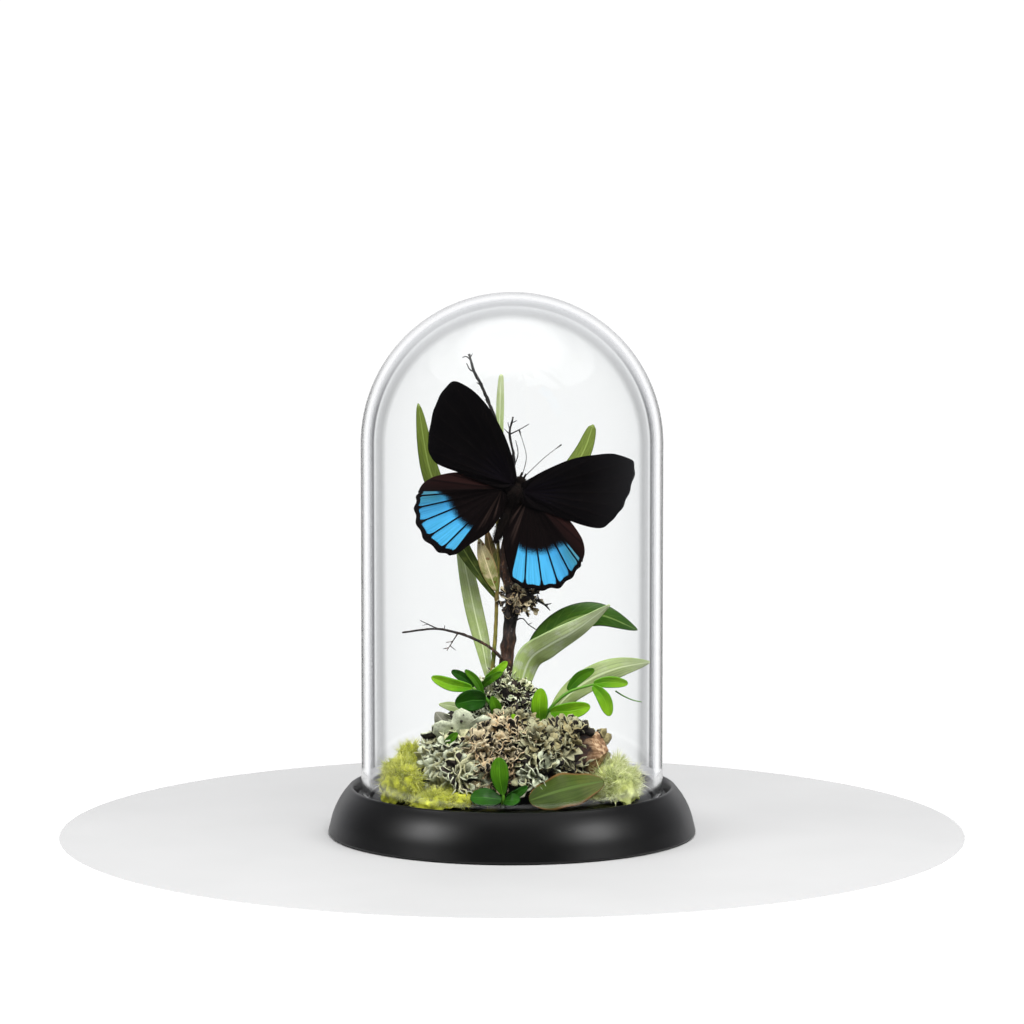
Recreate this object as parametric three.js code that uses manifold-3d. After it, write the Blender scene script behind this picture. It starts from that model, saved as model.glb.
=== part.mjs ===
// A preserved butterfly on a twig, with dried leaves, sprigs, lichen and moss on a piece of bark,
// under a glass dome that stands in the groove of a turned base.
// Millimetres. +Z is up, +X is to the right and -Y is the front.
// The origin is the centre of the base's underside.

import * as THREE from 'three';
import { mergeVertices } from 'three/addons/utils/BufferGeometryUtils.js';
import Module from 'manifold-3d';

// Driving dimensions
const OVERALL_HEIGHT = 180;
const DOME_DIAMETER = 100;
const DOME_WALL = 2.6;
const BASE_DIAMETER = 122;
const BASE_HEIGHT = 16;
const RIM_DIAMETER = 107.2;
const FLOOR_HEIGHT = 14.8;
const FLOOR_DIAMETER = 87;
const GROOVE_HEIGHT = 12.6;
const GROOVE_INNER_DIAMETER = 93.2;
const GROOVE_OUTER_DIAMETER = 102.4;
const GAP = 0.3;

// How finely round things are faceted
const TURNED_SIDES = 36;
const DOME_ARC_STEPS = 7;
const TWIG_SIDES = 6;
const LEAF_SIDES = 6;
const STEP_LENGTH = 7;
const FEWEST_STEPS = 4;
const CLUMP_DETAIL = 2;
const CLUMP_LUMPINESS = 0.06;
const BARK_DETAIL = 3;
const BARK_LUMPINESS = 0.05;
const WELD = 1e-4;

// Leaves
const LEAF_HALF_THICKNESS = 0.28;
const STALK_HALF_WIDTH = 0.45;
const TIP_HALF_WIDTH = 0.2;
const LEAF_FULLNESS = 0.8;
const EVEN_BELLY = 0.85;

// Butterfly
const THORAX = new THREE.Vector3(1.2, -3.2, 114);
const BODY_TILT = THREE.MathUtils.degToRad(22.3);
const WING_RAISE = THREE.MathUtils.degToRad(8);
const WING_THICKNESS = 0.4;
const FOREWING_FRONT = 1.5;
const HINDWING_FRONT = 0.8;
const WING_CURVE_POINTS = 24;

// The direction that a leaf's broad side looks towards, unless its own is given.
const FLAT_ON = new THREE.Vector3(0, -1, 0);

const wasm = await Module();
wasm.setup();

const specimen = new THREE.Group();
const placed = [];

// ---------------------------------------------------------------- helpers

function finish(colour, roughness, metalness = 0) {
  return new THREE.MeshStandardMaterial({ color: colour, roughness, metalness });
}

const FINISHES = {
  base: finish('#1d1d1f', 0.35),
  glass: new THREE.MeshStandardMaterial({
    color: '#f4f8f8', roughness: 0.02, transparent: true, opacity: 0.3,
  }),
  bark: finish('#5b4030', 0.9),
  twig: finish('#2c211c', 0.85),
  stem: finish('#6d6a35', 0.7),
  olive_leaf: finish('#6f8548', 0.6),
  pale_leaf: finish('#a9b98a', 0.6),
  dark_leaf: finish('#3f6a2b', 0.5),
  dry_leaf: finish('#b39a5a', 0.7),
  sprig: finish('#3f8a2a', 0.4),
  lichen: finish('#a9b3a0', 0.95),
  moss: finish('#9cab2c', 1),
  body: finish('#17110f', 0.95),
  wing: finish('#120c10', 0.8),
};

function points(list) {
  return list.map(([x, y, z]) => new THREE.Vector3(x, y, z));
}

// One closed mesh with shared vertices, and without the flat triangles that merging leaves at a pole.
function weld(geometry) {
  geometry.deleteAttribute('normal');
  geometry.deleteAttribute('uv');
  const merged = mergeVertices(geometry, WELD);
  const corner = merged.index.array;
  const kept = [];
  for (let i = 0; i < corner.length; i += 3) {
    const [a, b, c] = [corner[i], corner[i + 1], corner[i + 2]];
    if (a !== b && b !== c && c !== a) {
      kept.push(a, b, c);
    }
  }
  merged.setIndex(kept);
  return merged;
}

function toSolid(geometry) {
  const vertProperties = Float32Array.from(geometry.attributes.position.array);
  const triVerts = Uint32Array.from(geometry.index.array);
  return new wasm.Manifold(new wasm.Mesh({ numProp: 3, vertProperties, triVerts }));
}

function fromSolid(solid) {
  const mesh = solid.getMesh();
  const geometry = new THREE.BufferGeometry();
  geometry.setAttribute('position', new THREE.BufferAttribute(mesh.vertProperties, 3));
  geometry.setIndex(Array.from(mesh.triVerts));
  return geometry;
}

// The same solid with every vertex moved outwards by the gap, to cut room for it in its neighbours.
function grown(geometry) {
  const larger = geometry.clone();
  larger.computeVertexNormals();
  const position = larger.attributes.position;
  const normal = larger.attributes.normal;
  for (let i = 0; i < position.count; i += 1) {
    position.setXYZ(
      i,
      position.getX(i) + normal.getX(i) * GAP,
      position.getY(i) + normal.getY(i) * GAP,
      position.getZ(i) + normal.getZ(i) * GAP,
    );
  }
  larger.deleteAttribute('normal');
  larger.computeBoundingBox();
  return larger;
}

// Adds a piece to the specimen, cut back to leave a gap to every piece that is already there.
function place(name, material, geometry) {
  let shape = weld(geometry);
  shape.computeBoundingBox();
  for (const neighbour of placed) {
    if (!shape.boundingBox.intersectsBox(neighbour.box)) {
      continue;
    }
    const solid = toSolid(shape);
    if (!solid.intersect(neighbour.solid).isEmpty()) {
      shape = fromSolid(solid.subtract(neighbour.solid));
      shape.computeBoundingBox();
    }
  }
  const room = grown(shape);
  placed.push({ solid: toSolid(room), box: room.boundingBox });
  const mesh = new THREE.Mesh(shape, material);
  mesh.name = name;
  specimen.add(mesh);
}

// A closed strand along a curve, with an oval section that is halfWidth(t) by halfThickness(t).
// face is the direction that the strand's broad side looks towards.
function strand(route, halfWidth, halfThickness, sides, face = FLAT_ON) {
  const curve = new THREE.CatmullRomCurve3(points(route), false, 'centripetal');
  const steps = Math.max(FEWEST_STEPS, Math.round(curve.getLength() / STEP_LENGTH));
  const geometry = new THREE.CylinderGeometry(1, 1, 1, sides, steps);
  const position = geometry.attributes.position;
  for (let i = 0; i < position.count; i += 1) {
    const t = position.getY(i) + 0.5;
    const along = curve.getTangentAt(t);
    const side = new THREE.Vector3().crossVectors(along, face).normalize();
    const front = new THREE.Vector3().crossVectors(side, along);
    const spot = curve.getPointAt(t);
    spot.addScaledVector(side, position.getX(i) * halfWidth(t));
    spot.addScaledVector(front, position.getZ(i) * halfThickness(t));
    position.setXYZ(i, spot.x, spot.y, spot.z);
  }
  return geometry;
}

function twig(route, startRadius, endRadius) {
  const radius = (t) => THREE.MathUtils.lerp(startRadius, endRadius, t);
  return strand(route, radius, radius, TWIG_SIDES);
}

// belly is under 1 where the leaf is widest near its stalk, and over 1 where it is widest near its tip.
function leaf(route, halfWidth, belly = EVEN_BELLY, face = FLAT_ON) {
  const width = (t) => {
    const end = THREE.MathUtils.lerp(STALK_HALF_WIDTH, TIP_HALF_WIDTH, t);
    return end + (halfWidth - end) * Math.sin(Math.PI * t ** belly) ** LEAF_FULLNESS;
  };
  return strand(route, width, () => LEAF_HALF_THICKNESS, LEAF_SIDES, face);
}

// A lumpy rounded clump with the given centre and radii.
function clump([x, y, z], [rx, ry, rz], detail = CLUMP_DETAIL, lumpiness = CLUMP_LUMPINESS) {
  const geometry = weld(new THREE.IcosahedronGeometry(1, detail));
  const position = geometry.attributes.position;
  for (let i = 0; i < position.count; i += 1) {
    const [u, v, w] = [position.getX(i), position.getY(i), position.getZ(i)];
    const swell = 1 + lumpiness * (Math.sin(5 * u + 2 * w) + Math.cos(6 * v - 3 * u) * Math.sin(4 * w));
    position.setXYZ(i, x + rx * u * swell, y + ry * v * swell, z + rz * w * swell);
  }
  return geometry;
}

// ---------------------------------------------------------------- base and dome

function turned(profile) {
  const outline = profile.map(([radius, height]) => new THREE.Vector2(radius, height));
  const geometry = new THREE.LatheGeometry(outline, TURNED_SIDES);
  return geometry.rotateX(Math.PI / 2);
}

function buildBase() {
  const foot = BASE_DIAMETER / 2;
  const rim = RIM_DIAMETER / 2;
  const profile = [
    [0, 0],
    [foot - 0.8, 0],
    [foot, 0.8],
    [foot - 0.5, 2.8],
    [foot - 1.6, 6.9],
    [foot - 3.4, 10.9],
    [foot - 5.4, 13.9],
    [rim + 0.8, BASE_HEIGHT - 0.7],
    [rim, BASE_HEIGHT],
    [rim - 0.9, BASE_HEIGHT - 0.3],
    [GROOVE_OUTER_DIAMETER / 2, GROOVE_HEIGHT],
    [GROOVE_INNER_DIAMETER / 2, GROOVE_HEIGHT],
    [FLOOR_DIAMETER / 2 + 0.5, FLOOR_HEIGHT - 0.2],
    [FLOOR_DIAMETER / 2 - 0.4, FLOOR_HEIGHT],
    [0, FLOOR_HEIGHT],
  ];
  place('base', FINISHES.base, turned(profile));
}

function buildDome() {
  const outer = DOME_DIAMETER / 2;
  const inner = outer - DOME_WALL;
  const lip = GROOVE_HEIGHT + GAP;
  const spring = OVERALL_HEIGHT - outer;
  const profile = [[inner, lip], [outer, lip]];
  for (let i = 0; i <= DOME_ARC_STEPS; i += 1) {
    const angle = (i / DOME_ARC_STEPS) * (Math.PI / 2);
    profile.push([outer * Math.cos(angle), spring + outer * Math.sin(angle)]);
  }
  for (let i = DOME_ARC_STEPS; i >= 0; i -= 1) {
    const angle = (i / DOME_ARC_STEPS) * (Math.PI / 2);
    profile.push([inner * Math.cos(angle), spring + inner * Math.sin(angle)]);
  }
  profile.push([inner, lip]);
  place('glass_dome', FINISHES.glass, turned(profile));
}

// ---------------------------------------------------------------- bark, twigs and stem

const BARK_CENTRE = [-1, -6, 23];
const BARK_RADII = [29.5, 15.5, 13.2];

function buildBark() {
  place('bark_chunk', FINISHES.bark, clump(BARK_CENTRE, BARK_RADII, BARK_DETAIL, BARK_LUMPINESS));
}

const TWIG_ROUTES = {
  twig_main: [
    [[-2, 0, 34], [-2, 1.6, 44], [-2, 2, 56], [-0.7, 2, 69], [0, 2, 79], [-1.7, 1.6, 88],
      [-1.6, 1.2, 96], [0.2, 0.8, 106], [1, 0.6, 114], [1, 0.8, 118]], 2.2, 1.1],
  twig_upper_left: [
    [[0.8, 1, 117.4], [-3, 2.4, 129], [-6.2, 3.5, 139.3], [-10, 4, 148.6], [-12.4, 4.5, 153.1],
      [-14.2, 5, 159.2]], 0.85, 0.4],
  twig_upper_centre: [
    [[1.4, 0.6, 117.4], [0.6, 1.6, 122], [0.4, 1.4, 127], [-0.8, 1, 133], [0.3, 0, 138.8]], 0.6, 0.3],
  twig_left: [
    [[-3, 0.4, 58.2], [-7, -0.4, 62.1], [-13.9, -0.6, 65.8], [-19.8, -1, 67.7], [-25.1, -1, 68.6],
      [-36.3, -2, 67.5]], 0.55, 0.3],
  twig_right: [
    [[1, 1, 73.6], [5.9, 0, 77.9], [9, 0, 77.6], [11.6, 0, 75.9]], 0.55, 0.35],
};

function buildTwigs() {
  for (const [name, [route, startRadius, endRadius]] of Object.entries(TWIG_ROUTES)) {
    place(name, FINISHES.twig, twig(route, startRadius, endRadius));
  }
}

const STEM_ROUTE = [
  [-8.4, 2, 44], [-8, 2, 47.5], [-6.6, 2, 54.2], [-5.4, 2, 68.3], [-5, 2, 79], [-4.3, 3, 89.2],
  [-4.8, 4.5, 100], [-4.5, 6, 112], [-4, 6.5, 124],
];

function buildStem() {
  place('leaf_stem', FINISHES.stem, twig(STEM_ROUTE, 0.7, 0.5));
}

// ---------------------------------------------------------------- leaves

const LEANING_BACK = new THREE.Vector3(0.15, -0.72, 0.68);
const FACING_UP = new THREE.Vector3(0, -0.8, 0.6);
const LEANING_FORWARD = new THREE.Vector3(0.25, -0.95, -0.15);
const FACING_LEFT = new THREE.Vector3(-0.35, -0.9, 0.1);

// name: [finish, route, half width, belly, face]
const LEAVES = {
  leaf_tall_left: ['olive_leaf',
    [[-5.4, 2.6, 78.5], [-10, 4, 85], [-16.5, 7, 94.8], [-23, 10.5, 108.6], [-27, 12.5, 120.4],
      [-31, 13, 142]], 3.3, 1.1, FLAT_ON],
  leaf_top_blade: ['pale_leaf', [[-4, 6.5, 124.4], [-4.1, 7, 134], [-3.6, 7, 152.3]], 1.3, 0.9, FLAT_ON],
  leaf_upper_right: ['olive_leaf',
    [[-3.8, 5.2, 100], [3, 8, 106], [11, 11, 113.2], [20.9, 13.5, 126.2], [27.5, 15.5, 134.3]],
    2.9, 1.2, FLAT_ON],
  leaf_dry_front: ['dry_leaf', [[-5.2, 1.4, 81], [-7.6, 0.6, 89], [-10.8, 1, 98.5]], 2, 0.9, FLAT_ON],
  leaf_dry_back: ['dry_leaf', [[-4.2, 3.2, 86], [-6.8, 6.4, 93], [-8.5, 7.5, 101]], 1.8, 0.9, FLAT_ON],
  leaf_pale_left: ['pale_leaf',
    [[-7.6, 3.6, 50], [-9.4, 7.4, 61.8], [-12.3, 11, 74.9], [-16.6, 14.5, 96.2], [-18, 15.5, 103.4]],
    3.3, 0.9, FLAT_ON],
  leaf_pale_right: ['pale_leaf',
    [[2, -2.5, 46], [5.9, -4.8, 59], [11.8, -7.5, 64.2], [20.7, -10.5, 70.4], [31.9, -13, 78.3]],
    4.9, 0.8, LEANING_FORWARD],
  leaf_dark_right: ['dark_leaf',
    [[1.6, 5, 50], [10.5, 5, 64.6], [19, 6, 70.7], [29, 6.5, 72.2], [42, 5.5, 67.3]],
    4.4, 1.15, FLAT_ON],
  leaf_low_right: ['pale_leaf',
    [[11, 0, 36], [17, 0.6, 44.5], [26, 1.4, 51.5], [36, 2, 55.6], [45, 2, 56.9]], 3.5, 1, FLAT_ON],
  leaf_pale_tip_left: ['pale_leaf', [[-13, -4, 38], [-18, -4.4, 42.6], [-24.1, -5, 44]], 2, 0.9, FACING_UP],
  leaf_papery_left: ['pale_leaf',
    [[-16, -7, 33], [-20, -8.5, 36.5], [-25.5, -9.5, 39.5]], 3.4, 1, FACING_LEFT],
  leaf_round_front: ['dark_leaf',
    [[5.5, -38, 17.4], [12, -37.8, 19.6], [20, -36, 21.6], [29.4, -33, 23]], 6.4, 0.9, LEANING_BACK],
};

// Each sprig is a soft green stem with its own leaves: [route, start radius, end radius] and leaves as above.
const SPRIGS = {
  sprig_front: {
    stem: [[[-3, -37.5, 15.4], [-2.8, -39, 17.5], [-2.8, -39.4, 20]], 0.7, 0.5],
    leaves: [
      [[[-2.8, -39.6, 19.6], [-4, -39.4, 24.5], [-4.2, -38, 31.7]], 2.3, 1.3, FLAT_ON],
      [[[-3.4, -39.6, 18], [-8, -41, 18.8], [-13.3, -40, 18.8]], 3.3, 1.1, FACING_UP],
      [[[-2.2, -39.8, 17.6], [-0.2, -42.2, 18.2], [2.6, -43, 18.6]], 2.4, 1.1, FACING_UP],
      [[[-1.8, -39, 18.4], [1.8, -40, 20.2], [5, -39.6, 22.4]], 1.4, 1, FLAT_ON],
    ],
  },
  sprig_left: {
    stem: [[[-4.5, -8, 38], [-6, -11, 43], [-9, -12, 47.5], [-13, -11, 50.4]], 0.7, 0.4],
    leaves: [
      [[[-13.2, -11, 50.4], [-19.5, -11, 51.4], [-26.4, -10, 53.8]], 2.1, 1, FLAT_ON],
      [[[-12.4, -10.4, 50.6], [-16, -9.4, 53.6], [-19.8, -9, 55.8]], 1.6, 1, FLAT_ON],
      [[[-9.6, -11.4, 48.4], [-12, -10.6, 53], [-15.4, -10, 56.2]], 1.3, 1, FLAT_ON],
      [[[-8.6, -12.8, 46.6], [-13, -14.4, 46.8], [-18.6, -14.6, 45.6]], 3.6, 0.9, FLAT_ON],
      [[[-5.2, -11.6, 41], [-5.2, -14, 44], [-6.6, -14, 48]], 1.9, 0.9, FLAT_ON],
    ],
  },
  sprig_right: {
    stem: [[[9.2, -8, 36], [11, -9.6, 41], [14, -10, 45], [19, -10, 49], [27, -9.4, 51.4]], 0.7, 0.4],
    leaves: [
      [[[9.4, -10.2, 38.6], [9, -12, 44], [9.5, -12, 50.4]], 2.7, 1.1, FLAT_ON],
      [[[12.6, -10.8, 42.4], [18, -12, 42.8], [25.6, -12, 44.4]], 2.8, 1, FLAT_ON],
      [[[18.4, -9.4, 49.4], [22, -8.6, 53.4], [27, -8.4, 56.2]], 1.8, 1, FLAT_ON],
      [[[26.8, -9.2, 51.6], [32, -8.6, 52], [38, -8, 51.4]], 1.9, 1, FLAT_ON],
      [[[26.6, -10, 51], [30, -10.6, 47], [32, -10.8, 41]], 2.2, 1.1, FLAT_ON],
    ],
  },
};

function buildLeaves() {
  for (const [name, [finishName, route, halfWidth, belly, face]] of Object.entries(LEAVES)) {
    place(name, FINISHES[finishName], leaf(route, halfWidth, belly, face));
  }
}

function buildSprigs() {
  for (const [name, { stem, leaves }] of Object.entries(SPRIGS)) {
    place(`${name}_stem`, FINISHES.stem, twig(...stem));
    leaves.forEach(([route, halfWidth, belly, face], i) => {
      place(`${name}_leaf_${i + 1}`, FINISHES.sprig, leaf(route, halfWidth, belly, face));
    });
  }
}

// ---------------------------------------------------------------- lichen and moss

// name: [centre, radii]
const LICHENS = {
  lichen_collar: [[-1.9, -1.6, 45.2], [8.9, 8, 8.8]],
  lichen_twig: [[2.6, 0.6, 78.4], [5.4, 3.4, 3.2]],
  lichen_left: [[-20, -15, 26], [12.5, 11, 12]],
  lichen_centre: [[-2, -18, 29], [11, 9.5, 10]],
  lichen_right: [[16, -15, 28], [13, 9.5, 9]],
  lichen_back: [[0, 9, 26], [24, 7, 11]],
};

const MOSSES = {
  moss_left: [[-34.4, -17, 17.5], [7.8, 12, 10.6]],
  moss_front: [[-19, -33, 15.5], [13, 7, 4.5]],
  moss_right: [[32.5, -17, 17], [9, 12.5, 9.5]],
  moss_back: [[6, 19, 16], [26, 9, 6.5]],
};

function buildLichenAndMoss() {
  for (const [name, [centre, radii]] of Object.entries(LICHENS)) {
    place(name, FINISHES.lichen, clump(centre, radii));
  }
  for (const [name, [centre, radii]] of Object.entries(MOSSES)) {
    place(name, FINISHES.moss, clump(centre, radii));
  }
}

// ---------------------------------------------------------------- butterfly

// The body's outline, as [radius, distance ahead of the thorax's centre], from the tail to the head.
const BODY_PROFILE = [
  [0, -18], [0.8, -17.2], [1.35, -13], [1.5, -9], [1.2, -5], [1.1, -3.6], [2.1, -1.8], [2.45, 0.6], [2.2, 3],
  [1.2, 4.4], [1.3, 5.2], [1.35, 6.2], [0.8, 7.2], [0, 7.4],
];
const BODY_SIDES = 10;

function buildBody() {
  const outline = BODY_PROFILE.map(([radius, ahead]) => new THREE.Vector2(radius, ahead));
  const geometry = new THREE.LatheGeometry(outline, BODY_SIDES);
  geometry.rotateX(Math.PI / 2);
  geometry.rotateY(BODY_TILT);
  geometry.translate(THORAX.x, THORAX.y, THORAX.z);
  place('butterfly_body', FINISHES.body, geometry);
}

// Wing outlines as seen from the front, from the root round the tip:
// [to the right, up] of the thorax's centre.
const WING_OUTLINES = {
  forewing_left: [[0.4, 5.3], [-1.5, 13.6], [-5.3, 22.9], [-10.7, 31.1], [-16.2, 36], [-20.3, 37.4],
    [-23.3, 34.9], [-26, 30], [-27.6, 24.5], [-28.6, 15.7], [-27.6, 12.5], [-25.5, 10.3], [-18.9, 7.5],
    [-5.3, 2], [-1, 1]],
  forewing_right: [[2, 3.6], [11, 8.6], [19.2, 11.9], [27.4, 13.3], [32.3, 13.6], [36.1, 12.5],
    [38.3, 11.1], [38.8, 8.6], [37.5, 2.6], [34.5, -4.6], [32.3, -7.3], [29.6, -10.1], [26.9, -10.9],
    [23.1, -10.3], [11.1, -6.2], [1.2, -2.4]],
  hindwing_left: [[-2, 3.2], [-8, 5.6], [-13.5, 7], [-18.9, 7.4], [-23.3, 6.9], [-27.7, 5.6],
    [-30.8, 3.2], [-32.9, -3], [-32.6, -8.5], [-30.4, -14], [-26.1, -18.4], [-23.3, -19.8],
    [-20.1, -20.1], [-15.1, -16.8], [-8.6, -12.4], [-5.3, -8], [-2.4, -4]],
  hindwing_right: [[1.4, -0.4], [6, -1.4], [11.5, -3.6], [16.4, -7.2], [19.8, -11.3], [22, -15.1],
    [22.6, -19], [21.7, -22.3], [19.8, -25.6], [14.4, -30.6], [10, -31.4], [6.7, -31.7], [-0.4, -29.5],
    [-2.6, -24], [-4.2, -15.1], [-3.9, -11.3], [-1.8, -6]],
};

// A flat plate of the wing's outline, raised away from the body's axis towards the front.
function wing(outline, front) {
  const corners = outline.map(([u, v]) => new THREE.Vector2(u, v));
  const edge = new THREE.SplineCurve([...corners, corners[0]]);
  const rim = edge.getSpacedPoints(WING_CURVE_POINTS).slice(0, WING_CURVE_POINTS);
  const geometry = new THREE.ExtrudeGeometry(new THREE.Shape(rim), {
    depth: WING_THICKNESS, bevelEnabled: false, steps: 1,
  });
  const position = geometry.attributes.position;
  for (let i = 0; i < position.count; i += 1) {
    const [u, v, w] = [position.getX(i), position.getY(i), position.getZ(i)];
    const reach = Math.abs(u * Math.cos(BODY_TILT) - v * Math.sin(BODY_TILT));
    const depth = front + w + reach * Math.tan(WING_RAISE);
    position.setXYZ(i, THORAX.x + u, THORAX.y - depth, THORAX.z + v);
  }
  return geometry;
}

function buildWings() {
  for (const [name, outline] of Object.entries(WING_OUTLINES)) {
    const front = name.startsWith('fore') ? FOREWING_FRONT : HINDWING_FRONT;
    place(name, FINISHES.wing, wing(outline, front));
  }
}

const ANTENNA_ROUTES = {
  antenna_left: [[3.4, -3.6, 120], [4.7, -5, 126], [3.6, -6, 131.2], [2.2, -6.4, 135.3]],
  antenna_right: [[4.6, -3.6, 120], [10.4, -5, 125.7], [16.2, -6, 130.3]],
};
const ANTENNA_RADIUS = 0.22;
const CLUB_RADIUS = 0.34;
const CLUB_SHARPNESS = 6;
const ANTENNA_SIDES = 5;

function buildAntennae() {
  const radius = (t) => THREE.MathUtils.lerp(ANTENNA_RADIUS, CLUB_RADIUS, t ** CLUB_SHARPNESS);
  for (const [name, route] of Object.entries(ANTENNA_ROUTES)) {
    place(name, FINISHES.body, strand(route, radius, radius, ANTENNA_SIDES));
  }
}

// Each piece is cut back round those before it, so what is hard and carries the rest comes first.
buildBase();
buildDome();
buildBark();
buildTwigs();
buildStem();
buildBody();
buildWings();
buildAntennae();
buildLeaves();
buildSprigs();
buildLichenAndMoss();

export default specimen;
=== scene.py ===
# %% [markdown]
# # A butterfly under a glass dome
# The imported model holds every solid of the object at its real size: a turned base, a glass dome, a piece of
# bark, twigs, leaves, lichen, moss and the butterfly. This lesson keeps each piece where it is and gives it
# the shape and finish of the real thing. Everything is drawn in millimetres and scaled to metres once, as
# each piece is finished.

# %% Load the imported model
import math
from functools import partial

import bmesh
import bpy
import numpy as np
from mathutils import Matrix, Vector, noise
from mathutils.bvhtree import BVHTree


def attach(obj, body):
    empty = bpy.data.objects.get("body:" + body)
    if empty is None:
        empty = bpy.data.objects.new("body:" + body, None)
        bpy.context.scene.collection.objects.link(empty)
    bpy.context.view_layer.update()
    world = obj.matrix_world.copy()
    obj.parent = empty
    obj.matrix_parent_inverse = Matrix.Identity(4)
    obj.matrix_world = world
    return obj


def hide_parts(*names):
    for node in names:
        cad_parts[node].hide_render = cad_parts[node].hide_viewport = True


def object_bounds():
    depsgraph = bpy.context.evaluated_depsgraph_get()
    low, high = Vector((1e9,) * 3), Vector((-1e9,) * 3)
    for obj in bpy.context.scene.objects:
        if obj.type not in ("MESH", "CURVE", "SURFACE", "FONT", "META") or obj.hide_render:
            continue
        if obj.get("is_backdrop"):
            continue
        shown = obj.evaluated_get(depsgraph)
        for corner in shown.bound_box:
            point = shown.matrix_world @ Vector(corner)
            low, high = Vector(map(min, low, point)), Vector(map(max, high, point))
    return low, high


MM = 0.001
BODY = "root"
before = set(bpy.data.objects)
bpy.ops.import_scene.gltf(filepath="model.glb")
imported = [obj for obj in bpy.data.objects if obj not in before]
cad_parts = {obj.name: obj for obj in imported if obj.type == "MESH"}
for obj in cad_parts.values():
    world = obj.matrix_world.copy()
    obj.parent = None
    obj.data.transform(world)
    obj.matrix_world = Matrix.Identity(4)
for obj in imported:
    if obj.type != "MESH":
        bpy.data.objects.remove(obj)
cad_box = [list(corner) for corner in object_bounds()]
print("CAD box", cad_box)

# %% [markdown]
# ## Camera, light and surroundings
# A dome is clear glass, so what the eye sees of it is its surroundings. Product photographers stand such a
# thing on a pale table in front of a bright backdrop and keep the sides of the room darker, so that the edges
# of the glass are drawn by soft grey lines. Here the world does that: its brightness depends on the direction
# only. Three large soft boxes light the specimen. They are linked past the glass, because each would show in
# it as a white patch. Two smaller ones put the two broad highlights on the black base.

# %% Camera
CAMERA_DISTANCE = 1.984
CAMERA_HEIGHT = 0.3543
CAMERA_PITCH = math.radians(7.098)
FOCAL_PIXELS = 6060
PICTURE_PIXELS = 1024

camera = bpy.data.cameras.new("camera")
camera.angle = 2 * math.atan(PICTURE_PIXELS / 2 / FOCAL_PIXELS)
camera.clip_start = 0.05
camera_object = bpy.data.objects.new("camera", camera)
camera_object.location = (0, -CAMERA_DISTANCE, CAMERA_HEIGHT)
camera_object.rotation_euler = (math.pi / 2 - CAMERA_PITCH, 0, 0)
bpy.context.collection.objects.link(camera_object)
bpy.context.scene.camera = camera_object
bpy.context.scene.view_settings.view_transform = "Standard"
print(f"camera: {math.degrees(camera.angle):.2f} degrees wide")


# %% A colour
def linear(code):
    """A #rrggbb screen colour as the linear red, green, blue and alpha that shaders work with."""
    channels = [int(code[i : i + 2], 16) / 255 for i in (1, 3, 5)]
    return (*(c / 12.92 if c <= 0.04045 else ((c + 0.055) / 1.055) ** 2.4 for c in channels), 1.0)


# %% A shader node
# The setting that holds a node's way of working, by the kind of node.
WAYS = {"Math": "operation", "VectorMath": "operation", "MixRGB": "blend_type",
        "MapRange": "interpolation_type"}


def add_node(tree, kind, *values, stops=(), out=0, **named):
    """Adds a shader node and gives its output. kind is the node's name, and after a space its way of working.

    The values go to its inputs in order, and a named one to the input or else the setting of that name. Each
    may be another node's output or a #rrggbb colour. stops are a colour ramp's places and colours.
    """
    kind, _, way = kind.partition(" ")
    made = tree.nodes.new("ShaderNode" + kind)
    if way:
        setattr(made, WAYS[kind], way)
    wired = list(zip(made.inputs, values))
    for name, value in named.items():
        if name in made.inputs:
            wired.append((made.inputs[name], value))
        else:
            setattr(made, name, value)
    for socket, value in wired:
        if isinstance(value, bpy.types.NodeSocket):
            tree.links.new(value, socket)
        elif value is not None:
            socket.default_value = linear(value) if isinstance(value, str) else value
    for i, (place, colour) in enumerate(stops):
        element = made.color_ramp.elements[i] if i < 2 else made.color_ramp.elements.new(place)
        element.position = place
        element.color = linear(colour)
    return made.outputs[out] if made.outputs else made


# %% World
BACKDROP_STRENGTH = 1.12
OVERHEAD_STRENGTH = 1.2
STRAIGHT_BEHIND = (0, math.cos(CAMERA_PITCH), -math.sin(CAMERA_PITCH))
# How bright the surroundings are by their angle from straight behind the object, as a share of half a turn.
SURROUNDINGS = [
    (0.0, "#ffffff"), (0.0385, "#ffffff"), (0.046, "#c0c0c0"), (0.06, "#c4c4c4"), (0.068, "#ffffff"),
    (0.074, "#141414"), (0.106, "#141414"), (0.116, "#ffffff"), (0.178, "#fafafc"), (0.21, "#c6c6ca"),
    (0.4, "#606064"), (0.66, "#2c2c2f"), (1.0, "#222224"),
]

world = bpy.data.worlds.new("studio")
bpy.context.scene.world = world
world.use_nodes = True
sky = world.node_tree
sky.nodes.clear()
add = partial(add_node, sky)
direction = add("TexCoord", out="Generated")
height = add("SeparateXYZ", direction).node.outputs["Z"]
straight = add("VectorMath DOT_PRODUCT", direction, STRAIGHT_BEHIND, out="Value")
turn = add("Math DIVIDE", add("Math ARCCOSINE", straight), math.pi)
around = add("ValToRGB", turn, stops=SURROUNDINGS)
above = add("Math ABSOLUTE", add("Math ADD", height, math.sin(CAMERA_PITCH)))
paler = add("MapRange", above, 0.06, 0.2, 0.0, 0.75)
behind = add("MapRange", turn, 0.14, 0.116)
around = add("MixRGB", add("Math MULTIPLY", paler, behind), around, "#f0f0f2")
overhead = add("MapRange SMOOTHSTEP", height, 0.8, 0.95)
brightness = add("MixRGB", overhead, around, (OVERHEAD_STRENGTH,) * 3 + (1,))
background = add("Background", brightness, BACKDROP_STRENGTH)
add("OutputWorld", background)

# %% Soft boxes
SOFT_BOX_DISTANCE = 1.35


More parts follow.
